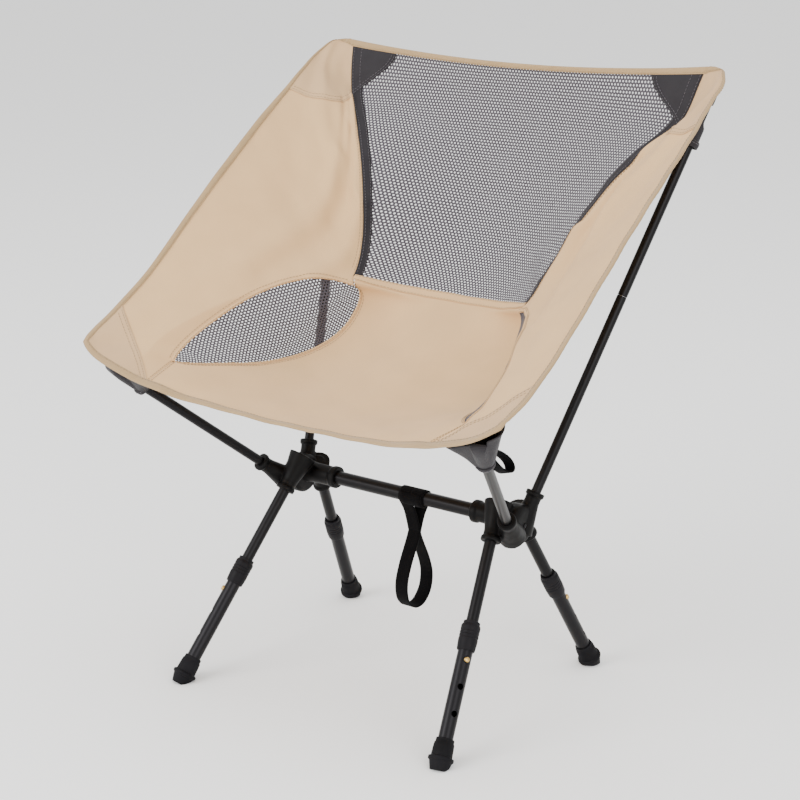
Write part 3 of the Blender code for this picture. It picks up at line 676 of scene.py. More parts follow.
wings = {}
along = np.linspace(END_INSET, 1 - END_INSET, WING_ROWS)
# Behind the window, the wing's inner edge runs from the leaf's point to the seam.
behind = np.interp(along, [WINDOW_REAR[1], SEAM], [WINDOW_REAR[0], SEAM])
wing_inner = np.where(along < WINDOW_REAR[1], window_edges(along)[1], behind)
for side, sign in SIDES.items():
    edges = (wing_inner, WING_EDGE) if sign > 0 else (-WING_EDGE, -wing_inner)
    edges = [np.broadcast_to(edge, along.shape) for edge in edges]
    across = between(*edges, WING_COLUMNS)
    rows = spread(along, WING_COLUMNS)
    wing = laid_cloth("wing_cloth_" + side, across, rows, OXFORD)
    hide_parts("wing_" + side)
    wings[side] = (wing, cloth_surface(across, rows))
print("seat %.3f m2, wing %.3f m2" % (flat_area(seat_points), flat_area(wings["left"][1])))

# %% [markdown]
# ## Net
#
# The back and the windows are knitted net with open holes, and the floor shows
# through them, so the holes are real. A honeycomb is laid out flat at the net's own
# pitch, bent onto the sling, and each cell keeps only a rim of yarn. The rim's outer
# line is raised a little, so that the yarn looks round.

# %% Honeycomb net
NET_PITCH = 0.0040
NET_OPEN = 0.53
NET_GUIDES = 400
YARN_RISE = 0.0005
NET_DROP = 0.0006


def net_cells(guide, start, end, half_width):
    """Centres of the cells as (across, along), spaced evenly over the bent cloth."""
    line = np.linspace(start, end, NET_GUIDES)
    length = run_lengths(taut_surface(np.full(NET_GUIDES, guide), line))
    step = NET_PITCH * math.sqrt(3) / 2
    flat_rows = int(length[-1] / step) + 2
    columns = int(half_width / NET_PITCH) + 1
    x = (np.arange(-columns, columns + 1) * NET_PITCH)[None, :] + np.zeros((flat_rows, 1))
    x[1::2] += NET_PITCH / 2
    y = (np.arange(flat_rows) * step)[:, None] + np.zeros((1, x.shape[1]))
    return np.column_stack([x.ravel(), y.ravel()]), (line, length)


def net(name, guide, start, end, half_width, keep):
    """Cells whose centre passes keep(across, along), bent onto the sling."""
    centres, (line, length) = net_cells(guide, start, end, half_width)
    reach = 0.02
    right, left = (taut_surface(np.full(NET_GUIDES, guide + step), line) for step in (reach, -reach))
    scale = np.linalg.norm(right - left, axis=1) / (2 * reach)

    def bent(flat):
        rows = np.interp(flat[:, 1], length, line)
        return guide + flat[:, 0] / np.interp(flat[:, 1], length, scale), rows

    centres = centres[keep(*bent(centres))]
    turn = math.tau * (np.arange(6) + 0.5) / 6
    spoke = np.column_stack([np.cos(turn), np.sin(turn)]) * NET_PITCH / math.sqrt(3)
    outer = (centres[:, None] + spoke).reshape(-1, 2)
    inner = (centres[:, None] + spoke * NET_OPEN).reshape(-1, 2)
    _, first, index = np.unique(
        np.round(outer / (NET_PITCH / 50)).astype(int), axis=0, return_index=True, return_inverse=True,
    )
    outer, index = outer[first], index.reshape(-1, 6)
    flat = np.vstack([outer, inner])
    lift = np.concatenate([np.full(len(outer), YARN_RISE), np.zeros(len(inner))])
    points = cloth_surface(*bent(flat), lift - NET_DROP)
    ring = np.arange(len(inner)).reshape(-1, 6) + len(outer)
    quads = np.stack([index, np.roll(index, -1, 1), np.roll(ring, -1, 1), ring], axis=2)
    mesh = bpy.data.meshes.new(name)
    mesh.from_pydata(points.tolist(), [], quads.reshape(-1, 4).tolist())
    mesh.update()
    piece = link_piece(name, mesh, NET_YARN)
    area = len(centres) * NET_PITCH**2 * math.sqrt(3) / 2 * (1 - NET_OPEN**2)
    print(name, len(centres), "cells, %.4f m2 of yarn" % area)
    return thickened(piece, 0.4), area


# %% Back net and window nets
NET_TOP = 0.992
BACK_HALF_WIDTH = 0.30
WINDOW_GUIDE = 0.58
WINDOW_NET_START, WINDOW_NET_END = WINDOW_FRONT[1] - 0.014, 0.485
WINDOW_HALF_WIDTH = 0.12
HEM_COVERS = 0.012
back, back_area = net("back_net", 0.0, SEAM, NET_TOP, BACK_HALF_WIDTH, lambda x, y: np.abs(x) < SEAM)
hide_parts("back_mesh")


def in_window(sign):
    """Keeps the cells inside the leaf, and those just past it that its hem covers."""
    def inside(across, along):
        lower, upper = window_edges(along)
        place = across * sign
        within = (place > lower - HEM_COVERS) & (place < upper + HEM_COVERS)
        return within & (along < WINDOW_NET_END)
    return inside


for side, sign in SIDES.items():
    net("window_net_" + side, sign * WINDOW_GUIDE, WINDOW_NET_START, WINDOW_NET_END,
                        WINDOW_HALF_WIDTH, in_window(sign))
    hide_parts("side_window_" + side)

# %% [markdown]
# ## Hems, tapes and corner patches
#
# Cloth is doubled wherever it is pulled. Narrow tan hems edge the windows and the
# foot of the back, a black tape runs up each side of the net, and the four corners
# have patches. Each is a thin strip or patch of its own, lifted off the cloth below
# by about one thickness, so that its edge casts a fine real shadow.

# %% Widths across the sling in millimetres
def across_per_mm(across, along):
    """How far across one millimetre of cloth is, at each place."""
    small = 0.004
    across, along = np.broadcast_arrays(np.asarray(across, float), np.asarray(along, float))
    sideways = taut_surface(across + small, along) - taut_surface(across - small, along)
    return MM * 2 * small / np.linalg.norm(sideways, axis=1)


def strip(name, across, along, from_mm, to_mm, finish, lift_mm=0.9, columns=7):
    """A strip beside a line of (across, along) places, measured across the cloth."""
    unit = across_per_mm(across, along)
    places = between(across + from_mm * unit, across + to_mm * unit, columns)
    rows = spread(along, columns)
    crown = np.sin(np.linspace(0, math.pi, columns)) ** 0.5 * 0.35
    mesh = grid_mesh(name, cloth_surface(places, rows, (lift_mm - 0.35 + crown) * MM))
    return thickened(link_piece(name, mesh, finish), 0.4)


# %% Hems and tapes
TRIM_TOP = 0.993
TAPE_WIDTH_MM = 9.0
HEM_WIDTH_MM = 5.0
tape_rows = np.linspace(SEAM, TRIM_TOP, 150)
window_rows = np.linspace(WINDOW_FRONT[1], WINDOW_REAR[1], 110)
window_low, window_high = window_edges(window_rows)
trims = {side: [] for side in SIDES}
for side, sign in SIDES.items():
    seam_line = np.full(len(tape_rows), SEAM * sign)
    trims[side] += [
        strip("net_side_tape_" + side, seam_line, tape_rows, -sign * TAPE_WIDTH_MM, sign * 1.0,
              BALLISTIC, 0.8),
        strip("window_low_hem_" + side, sign * window_low, window_rows, -sign * 1.0,
              sign * HEM_WIDTH_MM * 0.6, OXFORD, 0.9),
        strip("window_high_hem_" + side, sign * window_high, window_rows, -sign * HEM_WIDTH_MM * 0.6,
              sign * 1.0, OXFORD, 0.9),
    ]
hem_across = spread(np.linspace(-SEAM, SEAM, 140), 7)
hem_along = spread(np.linspace(SEAM - 0.010, SEAM + 0.006, 7), 140).T
back_hem = laid_cloth("back_foot_hem", hem_across, hem_along, OXFORD, 0.9)
print("trims:", sum(len(t) for t in trims.values()) + 1)

# %% Corner patches
# Each patch edge is a few (across, along) places with a smooth line through them.
TOP_PATCH_EDGE = [(0.50, 0.888), (0.60, 0.847), (0.74, 0.798), (0.87, 0.752), (0.985, 0.722)]
FRONT_PATCH_EDGE = [(0.700, 0.014), (0.780, 0.050), (0.860, 0.081), (0.930, 0.104), (0.985, 0.120)]
BLACK_PATCH_LOW = 0.885
BLACK_PATCH_REACH = 0.135


def patch_edge(edge, across):
    """A smooth edge: the cubic that lies closest to the edge's places."""
    places = np.array(edge)
    return np.polyval(np.polyfit(places[:, 0], places[:, 1], 3), across)


def black_patch_inner(along):
    """How far across the black top patch starts: a quarter wave in from the seam."""
    share = np.clip((along - BLACK_PATCH_LOW) / (TRIM_TOP - BLACK_PATCH_LOW), 0, 1)
    return SEAM - BLACK_PATCH_REACH * np.sin(share * math.pi / 2) ** 1.3


columns = np.linspace(SEAM + 0.004, WING_EDGE, 70)
front_columns = np.linspace(0.702, WING_EDGE, 50)
patch_rows = np.linspace(BLACK_PATCH_LOW, TRIM_TOP, 40)
for side, sign in SIDES.items():
    top = between(patch_edge(TOP_PATCH_EDGE, columns), np.full(len(columns), TRIM_TOP), 40)
    across = spread(sign * columns, 40)
    trims[side].append(laid_cloth(
        "top_corner_patch_" + side, across, top, PATCH_CLOTH, 0.75))
    front = between(np.full(len(front_columns), 0.006), patch_edge(FRONT_PATCH_EDGE, front_columns), 24)
    across = spread(sign * front_columns, 24)
    trims[side].append(laid_cloth(
        "front_corner_patch_" + side, across, front, PATCH_CLOTH, 0.75))
    across = between(black_patch_inner(patch_rows), np.full(len(patch_rows), SEAM), 24) * sign
    trims[side].append(laid_cloth(
        "black_corner_patch_" + side, across, spread(patch_rows, 24), BALLISTIC, 1.0))
print("corner patches: 6")

# %% [markdown]
# ## Edge binding
#
# A tape is folded over the raw edge all round and sewn through. Its section is a
# flat hairpin: down one face, round the edge and back up the other. The same
# section is carried round the outline. A fine pucker repeats at the stitch length.

# %% Outline of the sling
BINDING_WIDTH_MM = 8.5
BINDING_HALF_MM = 1.7
SIDE_POINTS = 230
SLING_LENGTH = 0.62
PUCKER_MM = 0.12
PUCKER_TURN = 1.9
# The hairpin section: how far in from the edge, and how far up, both in millimetres.
BINDING_SECTION = [
    (BINDING_WIDTH_MM, 1.3), (BINDING_WIDTH_MM - 0.6, BINDING_HALF_MM),
    (5.0, BINDING_HALF_MM + 0.1), (2.0, BINDING_HALF_MM), (0.5, 1.1), (0.0, 0.0),
    (0.5, -1.1), (2.0, -BINDING_HALF_MM), (5.0, -BINDING_HALF_MM - 0.1),
    (BINDING_WIDTH_MM - 0.6, -BINDING_HALF_MM), (BINDING_WIDTH_MM, -1.3),
]


def outline(inset_mm):
    """Places round the sling this far inside its edge, from the front left corner."""
    side = np.linspace(0, 1, SIDE_POINTS, endpoint=False)
    ones = np.ones(SIDE_POINTS)
    inset = inset_mm * MM / SLING_LENGTH
    across_inset = inset_mm * across_per_mm(np.full(1, 0.98), np.full(1, 0.5))[0]
    reach = 1 - across_inset
    across = np.concatenate([reach * (2 * side - 1), reach * ones, reach * (1 - 2 * side), -reach * ones])
    along = np.concatenate([
        inset * ones, inset + (1 - 2 * inset) * side, (1 - inset) * ones,
        1 - inset - (1 - 2 * inset) * side,
    ])
    return across, along


def binding():
    """The tape's section, carried all round the sling."""
    rings = []
    pucker = PUCKER_MM * np.sin(np.arange(4 * SIDE_POINTS) * PUCKER_TURN)
    for inset_mm, up_mm in BINDING_SECTION:
        lift = up_mm + np.sign(up_mm) * pucker * (inset_mm > 1)
        rings.append(cloth_surface(*outline(inset_mm), lift * MM))
    mesh = grid_mesh("edge_binding_tape", np.stack(rings, axis=1), closed_rows=True)
    return link_piece("edge_binding_tape", mesh, TAPE)


edge_tape = binding()
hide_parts("edge_binding")
print("binding section:", len(BINDING_SECTION), "points")

# %% [markdown]
# ## Stitching
#
# Each lock stitch is a short bead of thread that dips into the cloth at both ends.
# It is made once, as rings of points round a line, and NumPy copies it along every
# seam. Real stitches are about 3 mm long in a 0.3 mm thread; the thread is drawn at
# 0.7 mm, because a finer one would vanish at this distance.

# %% Lock stitches
STITCH_MM = 3.0
STITCH_GAP_MM = 1.0
THREAD_RADIUS_MM = 0.35
BEAD = [(-0.5, 0.0, -0.55), (-0.38, 0.75, 0.0), (0.0, 1.0, 0.25), (0.38, 0.75, 0.0), (0.5, 0.0, -0.55)]
BEAD_SIDES = 5


def seam_places(across, along, lift):
    """The stitches on a line over the cloth."""
    points = cloth_surface(across, along, lift)
    ups = surface_normals(np.asarray(across, float), np.asarray(along, float)) * np.sign(lift)
    return beads_along(points, ups)


def beads_along(points, ups):
    """Middle, direction and upward side of each stitch on a line of points."""
    length = run_lengths(points)
    pitch = (STITCH_MM + STITCH_GAP_MM) * MM
    middles = np.arange(pitch / 2, length[-1], pitch)

    def at(values, places):
        return np.column_stack([np.interp(places, length, values[:, i]) for i in range(3)])

    step = STITCH_MM * MM / 2
    ahead, behind = at(points, middles + step), at(points, middles - step)
    direction = ahead - behind
    direction /= np.maximum(np.linalg.norm(direction, axis=1, keepdims=True), 1e-9)
    return at(points, middles), direction, at(ups, middles)


def stitches(name, seams, thread, body="chair_frame"):
    """All the stitches of some seams as one piece."""
    middle, direction, up = (np.concatenate(part) for part in zip(*seams))
    up = up / np.linalg.norm(up, axis=1, keepdims=True)
    side = np.cross(direction, up)
    turn = math.tau * np.arange(BEAD_SIDES) / BEAD_SIDES
    rings = []
    for forward, wide, high in BEAD:
        radius = max(wide, 0.05) * THREAD_RADIUS_MM * MM
        centre = middle + direction * forward * STITCH_MM * MM + up * high * THREAD_RADIUS_MM * MM
        ring = centre[:, None] + radius * (
            side[:, None] * np.cos(turn)[:, None] + up[:, None] * np.sin(turn)[:, None])
        rings.append(ring)
    points = np.stack(rings, axis=1)
    count, ring_count = len(points), len(BEAD)
    ids = np.arange(points[..., 0].size).reshape(count, ring_count, BEAD_SIDES)
    nxt = np.roll(ids, -1, axis=2)
    quads = np.stack([ids[:, :-1], nxt[:, :-1], nxt[:, 1:], ids[:, 1:]], axis=-1).reshape(-1, 4)
    caps = np.concatenate([ids[:, 0, ::-1], ids[:, -1]])
    mesh = bpy.data.meshes.new(name)
    mesh.from_pydata(points.reshape(-1, 3).tolist(), [], quads.tolist() + caps.tolist())
    mesh.update()
    return link_piece(name, mesh, thread, body)


# %% Where the seams run
def both_faces(across, along, lift_mm):
    """A seam shows its thread on both faces of the cloth."""
    return [seam_places(across, along, face * lift_mm * MM) for face in (1, -1)]


def beside(across, along, by_mm):
    """The same line moved this far across the cloth."""
    return across + by_mm * across_per_mm(across, along)


LINE = 300
tan_seams, black_seams, binding_seams = [], [], []
for face in (1, -1):
    ring = outline(BINDING_WIDTH_MM - 1.8)
    ring = [np.append(part, part[0]) for part in ring]
    binding_seams.append(seam_places(*ring, face * 1.95 * MM))
for offset in (-0.0085, 0.0035):
    tan_seams += both_faces(np.linspace(-SEAM, SEAM, LINE), np.full(LINE, SEAM + offset), 1.35)
back_rows = np.linspace(SEAM + 0.012, 0.985, LINE)
leaf_rows = np.linspace(WINDOW_FRONT[1] + 0.004, WINDOW_REAR[1] - 0.004, LINE)
leaf_low, leaf_high = window_edges(leaf_rows)
front_rows = np.linspace(0.015, WINDOW_FRONT[1], 60)
top_columns = np.linspace(SEAM + 0.01, 0.975, LINE)
corner_columns = np.linspace(0.706, 0.975, LINE)
black_rows = np.linspace(BLACK_PATCH_LOW + 0.004, 0.985, 120)
for sign in SIDES.values():
    seam_line = np.full(LINE, SEAM * sign)
    for by_mm in (2.5, 6.0):
        tan_seams += both_faces(beside(seam_line, back_rows, sign * by_mm), back_rows, 0.7)
    for by_mm in (-1.6, -7.4):
        black_seams += both_faces(beside(seam_line, back_rows, sign * by_mm), back_rows, 1.4)
    for leaf, by_mm in ((leaf_low, 1.4), (leaf_high, -1.4), (leaf_low, -3.4), (leaf_high, 3.4)):
        lift = 1.3 if abs(by_mm) < 2 else 0.6
        tan_seams += both_faces(beside(sign * leaf, leaf_rows, sign * by_mm), leaf_rows, lift)
    for by_mm in (-2.0, 2.0):
        front_line = np.full(60, sign * WINDOW_FRONT[0])
        tan_seams += both_faces(beside(front_line, front_rows, sign * by_mm), front_rows, 0.7)
    for inset in (0.005, 0.0135):
        top_edge = patch_edge(TOP_PATCH_EDGE, top_columns) + inset
        tan_seams += both_faces(sign * top_columns, top_edge, 1.2)
        front_edge = patch_edge(FRONT_PATCH_EDGE, corner_columns) - inset
        tan_seams += both_faces(sign * corner_columns, front_edge, 1.2)
    for by_mm in (2.0, 6.0):
        inner = sign * black_patch_inner(black_rows)
        black_seams += both_faces(beside(inner, black_rows, sign * by_mm), black_rows, 1.5)
seam_stitches = stitches("tan_seam_stitches", tan_seams, TAN_THREAD)
tape_stitches = stitches("black_tape_stitches", black_seams, BLACK_THREAD)
binding_stitches = stitches("binding_stitches", binding_seams, TAN_THREAD)
print("stitches:", sum(len(s[0]) for s in tan_seams + black_seams + binding_seams))

# %% [markdown]
# ## Frame lines
#
# Every tube lies on a straight line that starts inside a hub. A line's matrix has
# its Z along the tube, so a round piece is only a list of (radius, height) points,
# turned about Z and placed by that matrix.

# %% Lines of the legs and poles
LEG_START = Vector((0.1314, -0.0027, 0.2455))
POLE_START = Vector((0.1450, 0.0007, 0.1836))
LINE_ENDS = {
    "front_leg": Vector((0.1764, -0.1869, 0.0)), "rear_leg": Vector((0.1734, 0.1340, 0.0)),
    "front_pole": Vector((0.2361, -0.2152, 0.3659)), "rear_pole": Vector((0.2456, 0.2268, 0.6619)),
}
OUTWARD = {"front": Vector((0.76, -0.65, 0.0)), "rear": Vector((0.76, 0.65, 0.0))}


BAR_PLACE = Vector((0.0, BAR.y, BAR.z))


def bar_axis(sign, place):
    """A matrix at this place whose Z points outwards along the crossbar."""
    return Matrix.Translation(place) @ Matrix.Rotation(sign * math.pi / 2, 4, "Y")


def on_side(point, sign):
    """A place of the right side, mirrored for the left, at the crossbar's own Y."""
    return Vector((point.x * sign, point.y + BAR.y, point.z))


def frame_line(kind, sign):
    """The matrix and length of a leg's or a pole's line."""
    end, row = kind.split("_")
    first = on_side(LEG_START if row == "leg" else POLE_START, sign)
    last = on_side(LINE_ENDS[kind], sign)
    hint = Vector((OUTWARD[end].x * sign, OUTWARD[end].y, 0.0))
    along = (last - first).normalized()
    outward = (hint - along * hint.dot(along)).normalized()
    matrix = Matrix((outward, along.cross(outward), along)).transposed().to_4x4()
    matrix.translation = first
    return matrix, (last - first).length


print("lines:", ", ".join("%s %.3f m" % (kind, frame_line(kind, 1)[1]) for kind in LINE_ENDS))

# %% Round pieces
CREASE = math.radians(38)
TUBE_WALL = 0.0011


def turned_mesh(name, profile, sides=48):
    """Turns (radius, z) points in metres about Z. A profile that doesn't start on
    the axis is taken as a loop round a hollow."""
    solid = profile[0][0] == 0.0
    made = bpy.data.meshes.new(name)
    work = bmesh.new()
    rings = []
    for radius, z in profile:
        count = sides if radius else 1
        turns = [math.tau * step / sides for step in range(count)]
        rings.append([work.verts.new((radius * math.cos(t), radius * math.sin(t), z)) for t in turns])
    pairs = list(zip(rings, rings[1:])) + ([] if solid else [(rings[-1], rings[0])])
    for low, high in pairs:
        for step in range(sides):
            turn = (step + 1) % sides
            face = [low[step % len(low)], low[turn % len(low)]]
            face += [high[turn % len(high)], high[step % len(high)]]
            work.faces.new(list(dict.fromkeys(face)))
    bmesh.ops.recalc_face_normals(work, faces=work.faces)
    work.to_mesh(made)
    work.free()
    return made


def temporary(mesh, matrix):
    """An object that is only used to build another and is then removed."""
    made = bpy.data.objects.new("temporary", mesh)
    bpy.context.scene.collection.objects.link(made)
    made.matrix_world = matrix
    return made


def finished_mesh(piece, name):
    """The mesh that a piece's modifiers make."""
    bpy.context.view_layer.update()
    graph = bpy.context.evaluated_depsgraph_get()
    mesh = bpy.data.meshes.new_from_object(piece.evaluated_get(graph))
    mesh.name = name
    return mesh


def cut(piece, tool):
    """Cuts the tool's shape out of the piece."""
    modifier = piece.modifiers.new("cut", "BOOLEAN")
    modifier.operation = "DIFFERENCE"
    modifier.solver = "EXACT"
    modifier.object = tool


def hard_piece(name, mesh, matrix, finish, body, round_mm=0.0):
    """Places a hard piece, with crisp edges kept crisp or slightly rounded."""
    mesh.shade_smooth()
    mesh.set_sharp_from_angle(angle=CREASE)
    mesh.materials.clear()
    mesh.materials.append(finish)
    made = bpy.data.objects.new(name, mesh)
    bpy.context.scene.collection.objects.link(made)
    made.matrix_world = matrix
    if round_mm:
        bevel = made.modifiers.new("rounded edges", "BEVEL")
        bevel.width = round_mm * MM
        bevel.segments = 2
        bevel.limit_method = "ANGLE"
        bevel.angle_limit = CREASE
        bevel.use_clamp_overlap = True
        bevel.harden_normals = False
    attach(made, body)
    return made


def tube_profile(radius, start, end):
    """A length of tube."""
    inner = radius - TUBE_WALL
    return [(inner, start), (radius, start), (radius, end), (inner, end)]


def rod_profile(radius, start, end):
    """A length of rod, which leaves a bore where it is cut away."""
    return [(0.0, start), (radius, start), (radius, end), (0.0, end)]


# %% [markdown]
# ## Tubes, collars, feet and snap buttons
#
# The tubes are the plainest pieces, and the eye goes to their ends: each has its
# wall thickness, adjustment holes and a button. The collar and the foot are turned
# from profiles with the steps and flanges of the real mouldings, and the foot is
# then cut flat where it stands on the ground.

# %% Sizes of the legs
UPPER_RADIUS, LOWER_RADIUS, POLE_RADIUS, BAR_RADIUS = 0.0065, 0.0080, 0.0055, 0.0080
LEG_BLIND = {"front": 0.034, "rear": 0.050}
COLLAR_TOP = {"front": 0.157, "rear": 0.148}
COLLAR_LENGTH = 0.032
BUTTON_BELOW_COLLAR = 0.010
HOLE_PITCH = 0.029
HOLE_RADIUS = 0.0034
DRILL_REACH = 0.014


def drilled(name, profile, matrix, holes):
    """A tube with round holes through the wall that faces its line's X."""
    tube = temporary(turned_mesh(name, profile), matrix)
    tools = []
    for along in holes:
        place = matrix @ Matrix.Translation((0, 0, along)) @ Matrix.Rotation(math.pi / 2, 4, "Y")
        tool = temporary(turned_mesh("drill", rod_profile(HOLE_RADIUS, 0.0, DRILL_REACH), 24), place)
        cut(tube, tool)
        tools.append(tool)
    mesh = finished_mesh(tube, name)
    for spare in [tube, *tools]:
        bpy.data.objects.remove(spare)
    return mesh


def collar_profile(top):
    """A sleeve with a thin guiding lip, a stepped ring and three shallow grip lines."""
    bottom = top + COLLAR_LENGTH
    profile = [(0.0069, top), (0.0084, top), (0.0089, top + 0.0005), (0.0089, top + 0.0032)]
    profile += [(0.0101, top + 0.0046), (0.0104, top + 0.0060)]
    for groove in range(3):
        z = top + 0.0100 + groove * 0.0036
        profile += [(0.0104, z), (0.0100, z + 0.0004), (0.0100, z + 0.0010), (0.0104, z + 0.0014)]
    profile += [
        (0.0104, bottom - 0.010), (0.0098, bottom - 0.0015), (0.0092, bottom),
        (0.0084, bottom), (0.0084, top + 0.0034), (0.0069, top + 0.0034),
    ]
    return profile


def foot_profile(length):
    """A stepped rubber ferrule: sleeve, ring, flange and a cone down to the ground."""
    floor, top = length - 0.0117, length - 0.031
    return [
        (0.0, floor), (0.0084, floor), (0.0084, top), (0.0092, top), (0.0097, top + 0.0006),
        (0.0098, top + 0.0040), (0.0106, top + 0.0050), (0.0110, top + 0.0100),
        (0.0113, length - 0.0125), (0.0120, length - 0.0118), (0.0134, length - 0.0112),
        (0.0136, length - 0.0104), (0.0136, length - 0.0086), (0.0132, length - 0.0078),
        (0.0120, length - 0.0070), (0.0112, length - 0.0040), (0.0090, length + 0.003),
        (0.0, length + 0.003),
    ]


def grounded(mesh, matrix):
    """Moves the mesh to its place and cuts it flat at the ground."""
    work = bmesh.new()
    work.from_mesh(mesh)
    bmesh.ops.transform(work, matrix=matrix, verts=work.verts)
    everything = work.verts[:] + work.edges[:] + work.faces[:]
    sliced = bmesh.ops.bisect_plane(
        work, geom=everything, plane_co=(0, 0, 0), plane_no=(0, 0, -1), clear_outer=True)
    edges = [part for part in sliced["geom_cut"] if isinstance(part, bmesh.types.BMEdge)]
    bmesh.ops.edgenet_fill(work, edges=edges)
    bmesh.ops.recalc_face_normals(work, faces=work.faces)
    work.to_mesh(mesh)
    work.free()
    return mesh


# %% The four legs
BUTTON_PROFILE = [
    (0.0, 0.0041), (0.0030, 0.0041), (0.0030, 0.0088), (0.0027, 0.0095),
    (0.0020, 0.0100), (0.0010, 0.01025), (0.0, 0.0103),
]


# The leaf spring as (towards the button, along the leg) from the button's middle.
NEAR_LEAF = [(0.0035, -0.006), (0.0032, 0.0), (0.0029, 0.004)]
FAR_LEAF = [(-0.0040, 0.004), (-0.0040, -0.004)]
LEAF_BEND = 0.00335
LEAF_MIDDLE = -0.00065
LEAF_FOLD = 0.015
LEAF_HALF_WIDTH = 0.0025


def leaf_spring(prefix, matrix, button):
    """A hairpin of sprung steel, its near leaf under the button."""
    turn = np.linspace(0.0, math.pi, 13)
    centre = LEAF_FOLD - LEAF_BEND
    bend = [(LEAF_MIDDLE + LEAF_BEND * math.cos(t), centre + LEAF_BEND * math.sin(t)) for t in turn]
    path = NEAR_LEAF + bend + FAR_LEAF
    widths = (-LEAF_HALF_WIDTH, 0.0, LEAF_HALF_WIDTH)
    points = np.array([[(x, y, button + z) for y in widths] for x, z in path])
    name = prefix + "_leaf_spring"
    mesh = grid_mesh(name, placed(points, matrix))
    piece = thickened(link_piece(name, mesh, STEEL, None), 0.4)
    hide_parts(prefix + "_button_spring")
    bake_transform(piece)


def leg(end, side, sign):
    """One leg: two tubes, a collar, a foot, a snap button and its spring."""
    prefix = "%s_%s" % (end, side)
    matrix, length = frame_line(end + "_leg", sign)
    top = length - COLLAR_TOP[end]
    button = top + COLLAR_LENGTH + BUTTON_BELOW_COLLAR
    upper = tube_profile(UPPER_RADIUS, LEG_BLIND[end], button + 0.020)
    lower = tube_profile(LOWER_RADIUS, top + 0.0037, length - 0.012)
    holes = [button + number * HOLE_PITCH for number in range(3)]
    press = matrix @ Matrix.Translation((0, 0, button)) @ Matrix.Rotation(math.pi / 2, 4, "Y")
    inverse = matrix.inverted()
    upper_mesh = drilled(prefix + "_upper_tube", upper, matrix, [button])
    lower_mesh = drilled(prefix + "_lower_tube", lower, matrix, holes)
    foot_mesh = grounded(turned_mesh(prefix + "_foot", foot_profile(length)), matrix)
    foot_mesh.transform(inverse)
    made = {
        "_upper_leg": hard_piece(prefix + "_upper_tube", upper_mesh, matrix, ANODISED,
                                 prefix + "_upper"),
        "_lower_leg": hard_piece(prefix + "_lower_tube", lower_mesh, matrix, LOWER_TUBE,
                                 prefix + "_lower"),
        "_collar": hard_piece(prefix + "_collar_sleeve", turned_mesh(prefix, collar_profile(top)), matrix,
                              COLLAR_NYLON, prefix + "_lower", 0.25),
        "_foot_cap": hard_piece(prefix + "_foot", foot_mesh, matrix, RUBBER,
                                prefix + "_lower"),
        "_snap_button": hard_piece(prefix + "_brass_button", turned_mesh(prefix, BUTTON_PROFILE, 24), press,
                                   BRASS, prefix + "_button"),
    }
    for node, piece in made.items():
        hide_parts(prefix + node)
    leaf_spring(prefix, matrix, button)


for side, sign in SIDES.items():
    for end in ("front", "rear"):
        leg(end, side, sign)
print("legs: 4, each with a collar, a foot and a button")

# %% Crossbar and seat poles
BAR_HALF_LENGTH = 0.132
REAR_JOINT = 0.290
TIP_SEAT = 0.006
ROLLED_IN = 0.0004
JOINT_HALF_GAP = 0.0002
bar_mesh = turned_mesh("crossbar_tube", tube_profile(BAR_RADIUS, -BAR_HALF_LENGTH, BAR_HALF_LENGTH))
bar = hard_piece("crossbar_tube", bar_mesh, bar_axis(1, BAR_PLACE), ANODISED,
                 "chair_frame")
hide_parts("crossbar")
for side, sign in SIDES.items():
    for kind, sections in (
        ("front_pole", {"front_%s_pole": (0.036, None)}),
        ("rear_pole", {"rear_%s_pole_lower": (0.027, REAR_JOINT), "rear_%s_pole_upper": (REAR_JOINT, None)}),
    ):
        matrix, length = frame_line(kind, sign)
        for pattern, (start, stop) in sections.items():
            node = pattern % side
            # A hairline is left where two sections meet, and each end is rolled in.
            first = start + (JOINT_HALF_GAP if "upper" in node else 0.0)
            last = stop - JOINT_HALF_GAP if stop else length - TIP_SEAT
            inner, rolled = POLE_RADIUS - TUBE_WALL, POLE_RADIUS - ROLLED_IN
            profile = [
                (inner, first), (rolled, first), (POLE_RADIUS, first + 0.0005),
                (POLE_RADIUS, last - 0.0005), (rolled, last), (inner, last),
            ]
            pole = hard_piece(node + "_tube", turned_mesh(node, profile), matrix, ANODISED,
                              "chair_frame")
            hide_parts(node)
print("poles: 6 sections and a crossbar")

# %% [markdown]
# ## Moulded hubs
#
# A hub is one nylon moulding: a barrel on the crossbar, four sockets and a disc,
# all run together with rounded corners. Each part is turned on its own, and a voxel
# remesh then melts the overlapping parts into one skin. A smoothing pass rounds the
# inside corners as a mould's fillets do, and the bores are cut crisp at the end.

# %% Sizes of the hub
SOCKETS = {
    "front_leg": (0.034, 0.064), "rear_leg": (0.050, 0.076),
    "front_pole": (0.036, 0.072), "rear_pole": (0.027, 0.059),
}
SOCKET_RADIUS = {"leg": 0.0094, "pole": 0.0086}
RING_HEIGHT = 0.0017
RING_LENGTH = 0.0048
BARREL_MOUTH_X = 0.0935
DISC_INNER_X, DISC_OUTER_X = 0.1375, 0.1590
DISC_PLACE = Vector((0.0, BAR.y - 0.001, 0.2050))
BORE_SLACK = 0.0003
HUB_VOXEL = 0.00085


